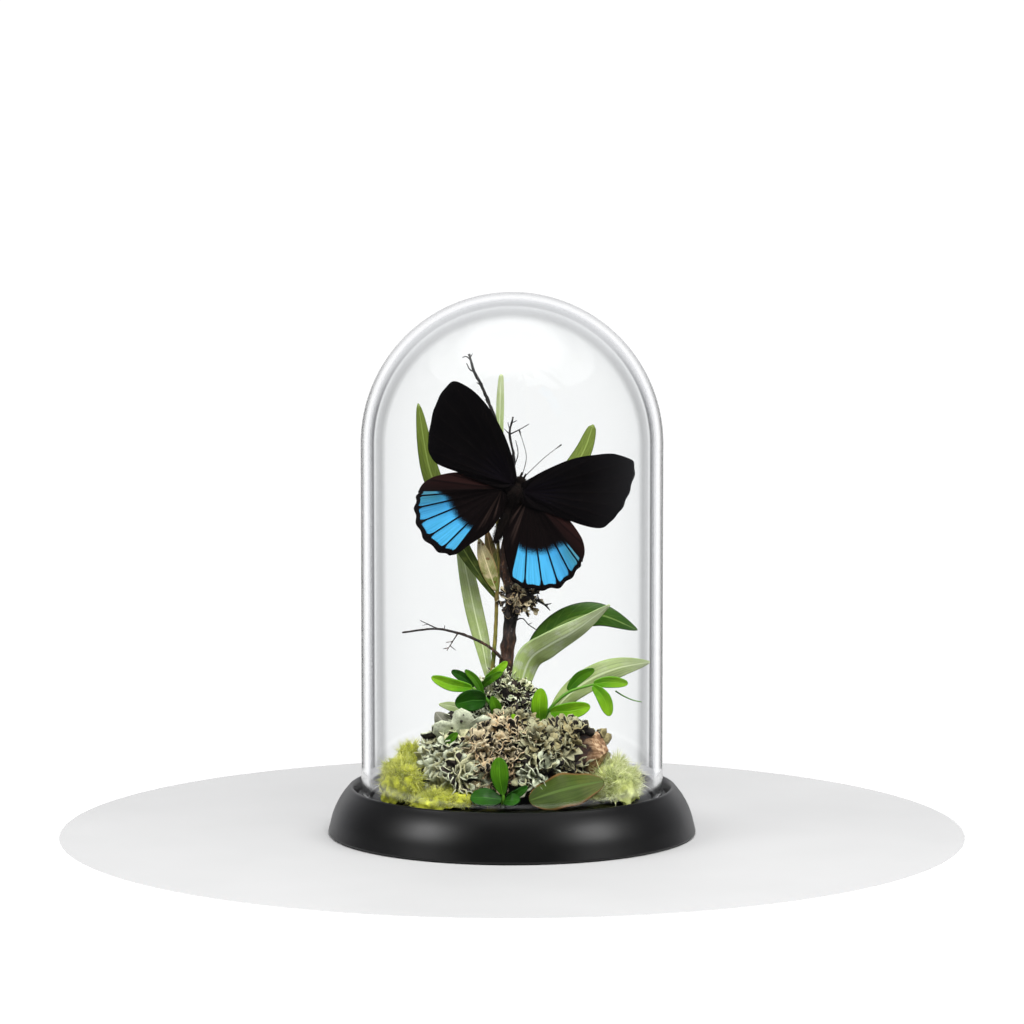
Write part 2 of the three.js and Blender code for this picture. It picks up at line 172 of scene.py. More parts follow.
def soft_box(name, turn_degrees, elevation_degrees, size, watts):
    """A square area light that faces the specimen from its front, turned to the right by turn_degrees."""
    light = bpy.data.lights.new(name, "AREA")
    light.shape = "SQUARE"
    light.size = size
    light.energy = watts
    lamp = bpy.data.objects.new(name, light)
    turn, rise = math.radians(turn_degrees), math.radians(elevation_degrees)
    away = Vector((math.sin(turn) * math.cos(rise), -math.cos(turn) * math.cos(rise), math.sin(rise)))
    lamp.location = away * SOFT_BOX_DISTANCE
    lamp.rotation_euler = away.to_track_quat("Z", "Y").to_euler()
    bpy.context.collection.objects.link(lamp)
    return lamp


# %% The lamps
# The first three shine straight through the glass on what is inside it, the last two on the base only.
PLANT_LAMPS = [
    soft_box("key", 8, 55, 0.8, 23),
    soft_box("left_side", -75, 42, 0.7, 10),
    soft_box("right_side", 64, 45, 0.8, 12),
]
BASE_LAMPS = [soft_box("base_left", -62, 34, 0.5, 9), soft_box("base_right", 60, 34, 0.5, 9)]


def group_of(name, things, state):
    """A set of objects for light linking, all included or all left out."""
    group = bpy.data.collections.new(name)
    for thing in things:
        group.objects.link(thing)
    for entry in group.collection_objects:
        entry.light_linking.link_state = state
    return group


# %% [markdown]
# ## Finishes
# Every surface starts from what it is made of. A finish is a Principled shader whose colour, roughness and
# bump come from a few procedural nodes, with the size of each pattern worked out from a real size in
# millimetres.

# %% Start a finish
def new_finish(name):
    """Two functions for a new material: one adds a node to it, the other its shader with given sockets."""
    material = bpy.data.materials.new(name)
    material.use_nodes = True
    tree = material.node_tree
    tree.nodes.clear()
    add = partial(add_node, tree)

    def finish(sockets):
        add("OutputMaterial", add("BsdfPrincipled", **sockets))
        return material

    return add, finish


def per_mm(size):
    """The scale that makes a texture's features about this many millimetres across."""
    return 1 / (size * MM)


# %% [markdown]
# ### Satin black plastic
# The base is turned or moulded in black ABS with a satin skin. The eye gets a near black body, broad soft
# highlights, and a very fine unevenness that breaks them up a little.

# %% Satin black plastic
def black_plastic():
    add, finish = new_finish("satin_black_plastic")
    place = add("TexCoord", out="Object")
    grain = add("TexNoise", Vector=place, Scale=per_mm(0.5), Detail=3.0)
    cloud = add("TexNoise", Vector=place, Scale=per_mm(18), Detail=4.0)
    colour = add("ValToRGB", cloud, stops=[(0.3, "#0a0a0b"), (0.75, "#0f0f10")])
    rough = add("MapRange", cloud, 0.3, 0.7, 0.34, 0.4)
    bump = add("Bump", Strength=0.06, Distance=0.02 * MM, Height=grain)
    return finish({"Base Color": colour, "Roughness": rough, "Normal": bump, "IOR": 1.5,
                   "Specular IOR Level": 0.32})


# %% [markdown]
# ### Clear glass
# The dome is blown soda-lime glass. It is as smooth as liquid and bends light with an index of 1.5, so it
# shows mostly at its edges, where the eye looks along the wall.

# %% Clear glass
def clear_glass():
    add, finish = new_finish("blown_clear_glass")
    place = add("TexCoord", out="Object")
    waves = add("TexNoise", Vector=place, Scale=per_mm(45), Detail=1.0)
    bump = add("Bump", Strength=0.03, Distance=0.1 * MM, Height=waves)
    return finish({"Normal": bump, "Base Color": "#fdfefe", "Roughness": 0.0, "IOR": 1.5,
                   "Transmission Weight": 1.0})


# %% [markdown]
# ### Leaves
# A leaf is drawn along its own length: U runs across the blade and V from the stalk to the tip. Its finish
# puts a pale midrib down the middle, thin side veins that slant towards the tip, blotches of a second colour,
# and a darker or browner edge. Dried leaves are the same leaf with other colours and more blotches.

# %% Leaf finish
SIDE_VEINS = 11.0


def leaf_finish(name, base, blotch, tip, rib, edge, rough=0.5, vein_depth=0.35, spots=0.0, spot="#3a2a18",
                rib_width=0.07, blotch_mm=3.0, shine=0.35):
    """A leaf's colours: at its base, in blotches, at its tip, on its midrib and at its edge."""
    add, finish = new_finish(name)
    place = add("TexCoord", out="Object")
    flat = add("TexCoord", out="UV")
    axes = add("SeparateXYZ", flat).node.outputs
    across = add("MapRange", axes["X"], 0.0, 1.0, -1.0, 1.0)
    off_rib = add("Math ABSOLUTE", across)
    mottle = add("TexNoise", Vector=place, Scale=per_mm(blotch_mm), Detail=5.0)
    fine = add("TexNoise", Vector=place, Scale=per_mm(0.35), Detail=3.0)
    streaks = add("TexNoise", Vector=add("VectorMath MULTIPLY", flat, (26.0, 2.2, 0.0)), Scale=1.0,
                  Detail=4.0)
    along = add("MapRange SMOOTHSTEP", axes["Y"], 0.1, 0.95)
    colour = add("MixRGB", along, base, tip)
    blotched = add("MapRange SMOOTHSTEP", mottle, 0.45, 0.68)
    colour = add("MixRGB", blotched, colour, blotch)
    shade = add("ValToRGB", streaks, stops=[(0.3, "#c4c4c4"), (0.7, "#ffffff")])
    colour = add("MixRGB MULTIPLY", 1.0, colour, shade)
    slant = add("Math SUBTRACT", add("Math MULTIPLY", axes["Y"], SIDE_VEINS),
                add("Math MULTIPLY", off_rib, 1.6))
    saw = add("Math FRACT", slant)
    ridge = add("Math ABSOLUTE", add("Math SUBTRACT", saw, 0.5))
    side_vein = add("MapRange SMOOTHSTEP", ridge, 0.09, 0.0)
    midrib = add("MapRange SMOOTHSTEP", off_rib, rib_width * 1.6, rib_width * 0.5)
    vein = add("Math MAXIMUM", midrib, add("Math MULTIPLY", side_vein, vein_depth))
    colour = add("MixRGB", vein, colour, rib)
    rim = add("MapRange SMOOTHSTEP", off_rib, 0.8, 1.0, 0.0, 0.85)
    colour = add("MixRGB", rim, colour, edge)
    if spots:
        dots = add("TexVoronoi", Vector=place, Scale=per_mm(2.6), out="Distance")
        dot = add("MapRange SMOOTHSTEP", dots, 0.22, 0.12, 0.0, spots)
        colour = add("MixRGB", dot, colour, spot)
    relief = add("Math SUBTRACT", add("Math MULTIPLY", fine, 0.25), vein)
    bump = add("Bump", Strength=0.5, Distance=0.12 * MM, Height=relief)
    gloss = add("MapRange", mottle, 0.3, 0.7, rough - 0.07, rough + 0.1)
    return finish({"Base Color": colour, "Roughness": gloss, "Normal": bump, "Specular IOR Level": shine,
                   "IOR": 1.45})


# %% [markdown]
# ## Shapes
# Long bent things, such as leaves, twigs and stems, all start as one flat grid made by Blender's own
# operator. A short rule then lays each of its corners along a smooth curve. The grid also gives the UV map,
# so the finish can tell where on the leaf it is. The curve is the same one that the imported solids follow, so
# the pieces match.

# %% A smooth route
STEPS_PER_SPAN = 16


class Route:
    """A centripetal Catmull-Rom curve through points in millimetres, measured along its length."""

    def __init__(self, points):
        given = np.array(points, float)
        ends = np.vstack([2 * given[0] - given[1], given, 2 * given[-1] - given[-2]])
        line = []
        for a, b, c, d in zip(ends, ends[1:], ends[2:], ends[3:]):
            gaps = [np.linalg.norm(q - p) ** 0.5 for p, q in ((a, b), (b, c), (c, d))]
            leave = ((b - a) / gaps[0] - (c - a) / (gaps[0] + gaps[1]) + (c - b) / gaps[1]) * gaps[1]
            arrive = ((c - b) / gaps[1] - (d - b) / (gaps[1] + gaps[2]) + (d - c) / gaps[2]) * gaps[1]
            for w in np.arange(STEPS_PER_SPAN) / STEPS_PER_SPAN:
                line.append(b * (2 * w**3 - 3 * w**2 + 1) + c * (3 * w**2 - 2 * w**3)
                            + leave * (w**3 - 2 * w**2 + w) + arrive * (w**3 - w**2))
        line.append(ends[-2])
        self.line = np.array(line)
        self.run = np.concatenate([[0], np.cumsum(np.linalg.norm(np.diff(self.line, axis=0), axis=1))])
        self.length = self.run[-1]

    def place(self, share):
        at = min(max(share, 0), 1) * self.length
        return Vector([np.interp(at, self.run, self.line[:, k]) for k in range(3)])

    def ahead(self, share):
        return (self.place(min(share + 0.01, 1)) - self.place(max(share - 0.01, 0))).normalized()


# %% A grid laid by a rule, and a finished piece
CLOSE = 0.004


def laid_grid(bm, across, along, rule):
    """Adds a flat grid, moves each vertex to rule(u, v), with u and v from 0 to 1, and returns them."""
    bm.loops.layers.uv.verify()
    made = bmesh.ops.create_grid(bm, x_segments=across, y_segments=along, size=0.5, calc_uvs=True)["verts"]
    for vert in made:
        vert.co = rule(vert.co.x + 0.5, vert.co.y + 0.5)
    return made


def close_up(bm, verts):
    """Merges the seam and the poles of a wrapped grid, closes its open ends and points its faces outwards."""
    bmesh.ops.remove_doubles(bm, verts=verts, dist=CLOSE)
    kept = [v for v in verts if v.is_valid]
    rims = [e for e in {e for v in kept for e in v.link_edges} if e.is_boundary]
    if rims:
        bmesh.ops.holes_fill(bm, edges=rims, sides=0)
    faces = list({f for v in kept for f in v.link_faces})
    bmesh.ops.recalc_face_normals(bm, faces=faces)


def piece(bm, name, finishes, node=None, slot=None, smooth=True):
    """Scales a bmesh in millimetres to metres and makes it a piece that rides on the body."""
    bmesh.ops.scale(bm, vec=(MM, MM, MM), verts=bm.verts)
    mesh = bpy.data.meshes.new(name)
    bm.to_mesh(mesh)
    bm.free()
    return finished(mesh, name, finishes, node, slot, smooth)


def finished(mesh, name, finishes, node=None, slot=None, smooth=True):
    for finish in finishes:
        mesh.materials.append(finish)
    mesh.polygons.foreach_set("use_smooth", [smooth] * len(mesh.polygons))
    made = bpy.data.objects.new(name, mesh)
    bpy.context.collection.objects.link(made)
    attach(made, BODY)
    if node:
        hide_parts(node)
    print(f"{name}: {len(mesh.polygons)} faces")
    return made


def thicken(made, thickness):
    """Gives a sheet its thickness, half to each side."""
    wall = made.modifiers.new("thickness", "SOLIDIFY")
    wall.thickness = thickness * MM
    wall.offset = 0
    return made


# %% [markdown]
# ## The base
# The base is a solid of revolution: a bulging side that leans in towards the top, a thin lip, a groove for
# the glass, and a slightly raised round floor. Its section is drawn once and spun round the axis. The corners
# are rounded with a bevel, as a mould or a turning tool leaves them.

# %% Turn a section
TURN_STEPS = 144


def turn_section(bm, section, steps=TURN_STEPS):
    """Spins an outline of (radius, height) pairs round the Z axis into a closed skin."""
    verts = [bm.verts.new((radius, 0, height)) for radius, height in section]
    edges = [bm.edges.new(pair) for pair in zip(verts, verts[1:])]
    bmesh.ops.spin(bm, geom=verts + edges, cent=(0, 0, 0), axis=(0, 0, 1), angle=2 * math.pi,
                   steps=steps, use_merge=True)
    bmesh.ops.remove_doubles(bm, verts=bm.verts, dist=CLOSE)
    bmesh.ops.recalc_face_normals(bm, faces=bm.faces)


# %% Base
BASE_SIDE = [(61, 0, 0.8), (60.5, 0, 2.8), (59.4, 0, 6.9), (57.6, 0, 10.9), (55.6, 0, 13.9), (54.4, 0, 15.3)]
SIDE_STEPS = 14
RIM_RADIUS, RIM_HEIGHT = 53.6, 16
GROOVE = [(51.2, 12.6), (46.6, 12.6)]
FLOOR_EDGE_RADIUS, FLOOR_HEIGHT = 43.5, 14.8


def build_base():
    side = Route(BASE_SIDE)
    bulge = [(p.x, p.z) for p in (side.place(i / SIDE_STEPS) for i in range(SIDE_STEPS + 1))]
    section = [(0, 0), (60.2, 0), *bulge, (54.1, RIM_HEIGHT - 0.25), (RIM_RADIUS, RIM_HEIGHT), (53.0, 15.95),
               (52.5, 15.4), (52.3, 14.9), *GROOVE, (44.4, 14.45), (FLOOR_EDGE_RADIUS, FLOOR_HEIGHT - 0.05),
               (FLOOR_EDGE_RADIUS - 0.5, FLOOR_HEIGHT), (0, FLOOR_HEIGHT)]
    bm = bmesh.new()
    turn_section(bm, section)
    made = piece(bm, "turned_base", [black_plastic()], "base", "black_base")
    rounding = made.modifiers.new("rounded corners", "BEVEL")
    rounding.width = 0.35 * MM
    rounding.segments = 3
    rounding.limit_method = "ANGLE"
    rounding.angle_limit = math.radians(25)
    rounding.harden_normals = True
    return made


turned_base = build_base()
for lamp in BASE_LAMPS:
    lamp.light_linking.receiver_collection = group_of("base only", [turned_base], "INCLUDE")

# %% [markdown]
# ## The glass dome
# The dome is a tube that closes in a half sphere, one wall thick all over and open underneath. Its outer and
# inner outlines are drawn as one closed loop and spun, so light enters and leaves the wall as it does in real
# glass.

# %% Dome
OUTER_RADIUS, WALL = 50, 2.6
LIP_HEIGHT, TOP_HEIGHT = 12.9, 180
ARC_STEPS = 40
LIP_ROUND = 1.3
RING_GAP = 1.0


def build_dome():
    inner, spring = OUTER_RADIUS - WALL, TOP_HEIGHT - OUTER_RADIUS
    section = []
    for i in range(ARC_STEPS + 1):
        angle = math.pi / 2 * (1 - i / ARC_STEPS)
        section.append((OUTER_RADIUS * math.cos(angle), spring + OUTER_RADIUS * math.sin(angle)))
    middle = (OUTER_RADIUS + inner) / 2
    # Rings close to each bend keep the long wall's normals level, so it bends light as real glass does.
    section += [(OUTER_RADIUS, height) for height in (spring - RING_GAP, LIP_HEIGHT + 4, LIP_HEIGHT + 1.5)]
    for i in range(9):
        angle = math.pi * i / 8
        section.append((middle + LIP_ROUND * math.cos(angle), LIP_HEIGHT + LIP_ROUND * (1 - math.sin(angle))))
    section += [(inner, height) for height in (LIP_HEIGHT + 1.5, LIP_HEIGHT + 4, spring - RING_GAP)]
    for i in range(ARC_STEPS + 1):
        angle = math.pi / 2 * i / ARC_STEPS
        section.append((inner * math.cos(angle), spring + inner * math.sin(angle)))
    bm = bmesh.new()
    turn_section(bm, section)
    return piece(bm, "blown_glass_dome", [clear_glass()], "glass_dome", "clear_glass")


blown_dome = build_dome()
for lamp in PLANT_LAMPS:
    lamp.light_linking.receiver_collection = group_of("plants", [turned_base, blown_dome], "EXCLUDE")
    lamp.light_linking.blocker_collection = group_of("through the glass", [blown_dome], "EXCLUDE")

# %% [markdown]
# ## Leaves
# Each leaf is a sheet along its route, as wide as a sine of its length, so it narrows to the stalk and the
# tip. The blade is folded a little along its midrib and its edges wave, because a dead flat leaf looks like
# paper.

# %% Leaf blades
STALK_HALF_WIDTH, TIP_HALF_WIDTH = 0.45, 0.2
LEAF_FULLNESS = 0.8
EDGE_WAVES = 2.5
FLAT_ON = (0, -1, 0)
LEANING_BACK = (0.15, -0.72, 0.68)
FACING_UP = (0, -0.8, 0.6)
LEANING_FORWARD = (0.25, -0.95, -0.15)
FACING_LEFT = (-0.35, -0.9, 0.1)
BLADE_ACROSS, BLADE_ALONG = 14, 44
BLADE_THICKNESS = 0.34


def blade_half_width(share, half_width, belly, fullness):
    end = STALK_HALF_WIDTH + (TIP_HALF_WIDTH - STALK_HALF_WIDTH) * share
    return end + (half_width - end) * max(math.sin(math.pi * min(share, 1) ** belly), 0) ** fullness


def lay_blade(bm, route, half_width, belly, face=FLAT_ON, fold=0.14, wave=0.12, fullness=LEAF_FULLNESS):
    """Adds a leaf blade. fold bends its halves away from the midrib, and wave ripples its edges."""
    curve = Route(route)
    facing = Vector(face).normalized()

    def rule(u, v):
        ahead = curve.ahead(v)
        side = ahead.cross(facing).normalized()
        front = side.cross(ahead)
        across = 2 * u - 1
        half = blade_half_width(v, half_width, belly, fullness)
        ripple = wave * half * across**2 * math.sin(2 * math.pi * EDGE_WAVES * v + (1.3 if across > 0 else 0))
        return curve.place(v) + side * across * half + front * (ripple - fold * half * abs(across) ** 1.4)

    return laid_grid(bm, BLADE_ACROSS, BLADE_ALONG, rule)


# %% Leaf finishes
OLIVE = leaf_finish("dried_olive_leaf", "#465a16", "#6a7c26", "#6e802e", "#829446", "#465818", rough=0.5)
PALE = leaf_finish("dried_pale_leaf", "#acc074", "#bccb96", "#b4c688", "#cfdcaa", "#96ac66", rough=0.55,
                   vein_depth=0.1)
GREYED = leaf_finish("dried_grey_green_leaf", "#c2da82", "#d8e4ba", "#ccdaa8", "#deeac4", "#a6bc7e",
                     rough=0.5, vein_depth=0.1, spots=0.25, spot="#8aa068")
DARK = leaf_finish("preserved_dark_leaf", "#4c7216", "#35640c", "#39640e", "#789648", "#1f3f08", rough=0.42,
                   spots=0.1, vein_depth=0.2)
DRY = leaf_finish("dried_yellow_leaf", "#8a9a40", "#eedcaa", "#ecd8a4", "#f0e4b4", "#b89a60", rough=0.6,
                  spots=0.75, spot="#7a4a2c")
BROWN = leaf_finish("dried_brown_leaf", "#5c6f2c", "#8a6a45", "#7c6a3a", "#b59a68", "#4f3a22", rough=0.6,
                    spots=0.8, spot="#3a2216")
PAPERY = leaf_finish("papery_grey_leaf", "#8e8d80", "#b6b4a6", "#a3a294", "#c6c4b8", "#77766a", rough=0.65)
FLESHY = leaf_finish("fleshy_round_leaf", "#344612", "#40521a", "#4e5822", "#485c24", "#7c5836", rough=0.5,
                     vein_depth=0.05, spots=0.25, spot="#2e3a18", blotch_mm=6, shine=0.12)
LIGHT_BLADE = leaf_finish("fresh_pale_blade", "#a0b868", "#c0cf94", "#ccd8a8", "#dce6c0", "#a4b67c",
                          rough=0.5)

# %% Loose leaves
# node: finish, route, half its width in mm, how its widest place lies along it, the way it faces, and slot
LEAVES = {
    "leaf_tall_left": (OLIVE, [(-5.4, 2.6, 78.5), (-10, 4, 85), (-16.5, 7, 94.8), (-23, 10.5, 108.6),
                               (-27.6, 12.5, 120.4), (-31.4, 13, 142)], 3.1, 1.2, FLAT_ON, "olive_leaf"),
    "leaf_top_blade": (LIGHT_BLADE, [(-4, 6.5, 124.4), (-4.1, 7, 134), (-3.6, 7, 152.3)], 1.3, 0.9, FLAT_ON,
                       "pale_leaf"),
    "leaf_upper_right": (OLIVE, [(-3.8, 5.2, 100), (3, 8, 105), (13, 11, 112), (23.2, 13.5, 124.6),
                                 (27.2, 15.5, 134.6)], 3.1, 1.5, FLAT_ON, "olive_leaf"),
    "leaf_dry_front": (DRY, [(-5.2, 1.4, 81), (-8, 0.6, 89), (-11, 1, 98.5)], 2.6, 0.9, FLAT_ON, "dry_leaf"),
    "leaf_dry_back": (BROWN, [(-4.2, 3.2, 86), (-6.8, 6.4, 93), (-8.5, 7.5, 101)], 1.8, 0.9, FLAT_ON,
                      "dry_leaf"),
    "leaf_pale_left": (PALE, [(-7.6, 3.6, 50), (-9.8, 7.4, 61.8), (-13, 11, 74.9), (-17.4, 14.5, 96.2),
                              (-18.8, 15.5, 103.4)], 3.0, 0.9, FLAT_ON, "pale_leaf"),
    "leaf_pale_right": (GREYED, [(2, -2.5, 46), (5.9, -4.8, 59), (11.8, -7.5, 64), (20.9, -10.5, 69.7),
                                 (31.9, -13, 78.3)], 4.6, 0.68, LEANING_FORWARD, "pale_leaf"),
    "leaf_dark_right": (DARK, [(1.6, 5, 50), (10.5, 5, 64.6), (19, 6, 70.7), (29, 6.5, 72.2),
                               (42, 5.5, 67.3)], 4.4, 1.15, FLAT_ON, "dark_leaf"),
    "leaf_low_right": (PALE, [(11, 0, 36), (17, 0.6, 44.5), (26, 1.4, 51.5), (36, 1.6, 55.4),
                              (46.2, 1, 57.2)], 4.0, 1.1, FLAT_ON, "pale_leaf"),
    "leaf_pale_tip_left": (PALE, [(-13, -4, 38), (-18, -4.4, 42.6), (-24.1, -5, 44)], 2, 0.9, FACING_UP,
                           "pale_leaf"),
    "leaf_papery_left": (PAPERY, [(-16.5, -9, 32.5), (-21, -11.5, 37.5), (-25, -12, 42.5)], 4, 1, FACING_LEFT,
                         "papery_leaf"),
    "leaf_round_front": (FLESHY, [(5.5, -38, 17.4), (12, -37.8, 19.6), (20, -36, 21.6), (29.4, -33, 23)], 6.4,
                         0.9, LEANING_BACK, "dark_leaf"),
}
# Leaves with a blunter tip than the others.
BLUNT = {"leaf_tall_left": 0.62, "leaf_top_blade": 0.3, "leaf_upper_right": 0.42, "leaf_round_front": 0.6}


def build_leaves():
    for name, (finish, route, half_width, belly, face, slot) in LEAVES.items():
        bm = bmesh.new()
        lay_blade(bm, route, half_width, belly, face, fullness=BLUNT.get(name, LEAF_FULLNESS))
        thicken(piece(bm, name + "_blade", [finish], name, slot), BLADE_THICKNESS)


build_leaves()

# %% [markdown]
# ## Sprigs
# The three green sprigs are preserved with glycerine, which keeps them plump and glossy. Each leaf is spoon
# shaped and cupped towards the light, and sits on a soft green stem.

# %% Sprig finishes
PLUMP = dict(rough=0.36, vein_depth=0.03, blotch_mm=4, rib_width=0.04)
GLOSSY = leaf_finish("preserved_sprig_leaf", "#316207", "#3e700c", "#50820f", "#54861c", "#326008",
                     shine=0.15, **PLUMP)
BRIGHT = leaf_finish("preserved_bright_leaf", "#5a9c0e", "#7cb416", "#88be1c", "#80b62a", "#5c9610",
                     shine=0.22, **PLUMP)
DEEP = leaf_finish("preserved_deep_leaf", "#164005", "#1e5006", "#265a08", "#2e6014", "#123804", shine=0.15,
                   **PLUMP)

# %% Sprigs
# Each sprig's stem is a route and its first and last radius. A leaf is a finish, a route, half its width in
# mm, how its widest place lies along it, and the way it faces.
SPRIGS = {
    "sprig_front": {
        "stem": ([(-3, -37.5, 15.4), (-2.8, -39, 17.5), (-2.8, -39.4, 20)], 0.7, 0.5),
        "leaves": [
            (GLOSSY, [(-2.8, -39.6, 19.6), (-3.8, -39.4, 24.5), (-4.2, -38, 31.7)], 2.9, 1.3, FLAT_ON),
            (DEEP, [(-3.4, -39.6, 18), (-8, -41, 18.8), (-13.3, -40, 18.8)], 3.3, 1.1, FACING_UP),
            (DEEP, [(-2.2, -39.8, 17.6), (-0.2, -42.2, 18.2), (2.6, -43, 18.6)], 2.4, 1.1, FACING_UP),
            (DEEP, [(-1.8, -39, 18.4), (1.8, -40, 20.2), (5, -39.6, 22.4)], 1.4, 1, FLAT_ON),
        ],
    },
    "sprig_left": {
        "stem": ([(-4.5, -8, 38), (-6, -11, 43), (-9, -12, 47.5), (-13, -11, 50.4)], 0.7, 0.4),
        "leaves": [
            (BRIGHT, [(-13.2, -11, 50.4), (-19.5, -11, 51.4), (-26.4, -10, 53.8)], 2.1, 1, FLAT_ON),
            (DEEP, [(-12.4, -10.4, 50.6), (-16, -9.4, 53.6), (-19.8, -9, 55.8)], 1.6, 1, FLAT_ON),
            (GLOSSY, [(-9.6, -11.4, 48.4), (-12, -10.6, 53), (-15.4, -10, 56.2)], 1.3, 1, FLAT_ON),
            (DEEP, [(-8.6, -12.8, 46.6), (-13, -14.4, 46.8), (-18.6, -14.6, 45.6)], 3.6, 0.9, FLAT_ON),
            (GLOSSY, [(-5.2, -11.6, 41), (-5.2, -14, 44), (-6.6, -14, 48)], 1.9, 0.9, FLAT_ON),
        ],
    },
    "sprig_right": {
        "stem": ([(9.2, -8, 36), (11, -9.6, 41), (14, -10, 45), (19, -10, 49), (27, -9.4, 51.4)], 0.7, 0.4),
        "leaves": [
            (BRIGHT, [(9.4, -10.2, 38.6), (9, -12, 44), (9.5, -12, 50.4)], 2.7, 1.1, FLAT_ON),
            (BRIGHT, [(12.6, -10.8, 42.4), (18, -12, 42.8), (25.6, -12, 44.4)], 2.8, 1, FLAT_ON),
            (GLOSSY, [(18.4, -9.4, 49.4), (22, -8.6, 53.4), (27, -8.4, 56.2)], 1.8, 1, FLAT_ON),
            (BRIGHT, [(26.8, -9.2, 51.6), (32, -8.6, 52), (38, -8, 51.4)], 1.9, 1, FLAT_ON),
            (BRIGHT, [(26.6, -10, 51), (30, -10.6, 47), (32, -10.8, 41)], 2.2, 1.1, FLAT_ON),
        ],
    },
}
SPRIG_THICKNESS = 0.5
SPRIG_FULLNESS = 0.55


# %% Round strands
def lay_tube(bm, route, radius, around=10, along=None, lumps=0.0, lump_mm=3.0):
    """Adds a round strand, radius(v) thick. lumps is how far its bark swells, as a share of that."""
    curve = Route(route)
    along = along or max(6, round(curve.length / 1.2))
    up = Vector((0.1, -1, 0.05)).normalized()

    def rule(u, v):
        ahead = curve.ahead(v)
        side = ahead.cross(up).normalized()
        front = side.cross(ahead)
        out = side * math.cos(2 * math.pi * u) + front * math.sin(2 * math.pi * u)
        centre = curve.place(v)
        swell = 1 + lumps * noise.noise((centre + out * radius(v)) / lump_mm)
        return centre + out * radius(v) * swell

    close_up(bm, laid_grid(bm, around, along, rule))


def tapered(start, end):
    return lambda v: start + (end - start) * v


# %% Stems
def green_stem():
    add, finish = new_finish("dried_green_stem")
    place = add("TexCoord", out="Object")
    patches = add("TexNoise", Vector=place, Scale=per_mm(7), Detail=4.0)
    streaks = add("TexNoise", Vector=add("Mapping", place, Scale=(1, 1, 0.12)), Scale=per_mm(0.4), Detail=3.0)
    colour = add("ValToRGB", patches, stops=[(0.35, "#6c7a2c"), (0.5, "#9a9142"), (0.68, "#7a5a2e")])
    shade = add("ValToRGB", streaks, stops=[(0.3, "#8a8a8a"), (0.65, "#ffffff")])
    colour = add("MixRGB MULTIPLY", 0.8, colour, shade)
    bump = add("Bump", Strength=0.5, Distance=0.1 * MM, Height=streaks)
    return finish({"Base Color": colour, "Normal": bump, "Roughness": 0.55})


STEM = green_stem()
SPRIG_STEM = leaf_finish("preserved_sprig_stem", "#3f7a1a", "#6a9a2a", "#5f9a24", "#6fa534", "#3a7018",
                         rough=0.45)
STEM_ROUTE = [(-8.4, 2, 44), (-8, 2, 47.5), (-6.6, 2, 54.2), (-5.4, 2, 68.3), (-5, 2, 79), (-4.3, 3, 89.2),
              (-4.8, 4.5, 100), (-4.5, 6, 112), (-4, 6.5, 124)]
STEM_NODES = (0.2, 0.43, 0.62, 0.8)


def stem_radius(v):
    swell = sum(0.28 * math.exp(-(((v - at) / 0.008) ** 2)) for at in STEM_NODES)
    return 0.72 - 0.2 * v + swell


def build_stem():
    bm = bmesh.new()
    lay_tube(bm, STEM_ROUTE, stem_radius, along=110, lumps=0.15, lump_mm=2)
    piece(bm, "dried_stem", [STEM], "leaf_stem", "dry_stem")


def build_sprigs():
    for name, sprig in SPRIGS.items():
        route, start, end = sprig["stem"]
        bm = bmesh.new()
        lay_tube(bm, route, tapered(start, end), lumps=0.1)
        piece(bm, name + "_green_stem", [SPRIG_STEM], name + "_stem", "dry_stem")
        for i, (finish, path, half_width, belly, face) in enumerate(sprig["leaves"], 1):
            node = f"{name}_leaf_{i}"
            bm = bmesh.new()
            lay_blade(bm, path, half_width, belly, face, fold=-0.22, wave=0.03, fullness=SPRIG_FULLNESS)
            thicken(piece(bm, node + "_blade", [finish], node, "sprig_leaf"), SPRIG_THICKNESS)


build_stem()
build_sprigs()

# %% [markdown]
# ## Twigs
# The main twig is a dead shoot with black, cracked bark, speckled with grey. Its side shoots are thin and
# wiry, and end in tiny spurs. A spur is a very short tube that starts inside its shoot.


# %% Twig bark
BARE_HEIGHT = 90


def dark_bark():
    add, finish = new_finish("black_twig_bark")
    place = add("TexCoord", out="Object")
    stretched = add("Mapping", place, Scale=(1, 1, 0.35))
    cracks = add("TexNoise", Vector=stretched, Scale=per_mm(1.1), Detail=6.0, Roughness=0.65)
    specks = add("TexVoronoi", Vector=place, Scale=per_mm(1.3), out="Distance")
    height = add("SeparateXYZ", place).node.outputs["Z"]
    foot = add("MapRange SMOOTHSTEP", height, 72 * MM, 58 * MM)
    # Bark has come off at the foot and again behind the abdomen, where the wood shows reddish brown.
    from_bare = add("Math ABSOLUTE", add("Math SUBTRACT", height, BARE_HEIGHT * MM))
    bare = add("MapRange SMOOTHSTEP", from_bare, 9 * MM, 5 * MM)
    foot = add("Math MAXIMUM", foot, bare)
    colour = add("ValToRGB", cracks, stops=[(0.38, "#060505"), (0.56, "#14100f"), (0.7, "#383130")])
    brown = add("ValToRGB", cracks, stops=[(0.35, "#120b08"), (0.55, "#3e2416"), (0.72, "#8a6044")])
    colour = add("MixRGB", foot, colour, brown)
    speck = add("MapRange SMOOTHSTEP", specks, 0.2, 0.1, 0.0, 0.8)
    colour = add("MixRGB", speck, colour, "#6f6c6a")
    bump = add("Bump", Strength=0.8, Distance=0.25 * MM, Height=cracks)
    return finish({"Base Color": colour, "Normal": bump, "Roughness": 0.8})


TWIG_BARK = dark_bark()

# %% Twigs and their spurs
def thick_shoot(v):
    """The main twig stays thick up to where the shoots fork off, then thins."""
    return 2.3 - 1.15 * max(0, v - 0.6) / 0.4


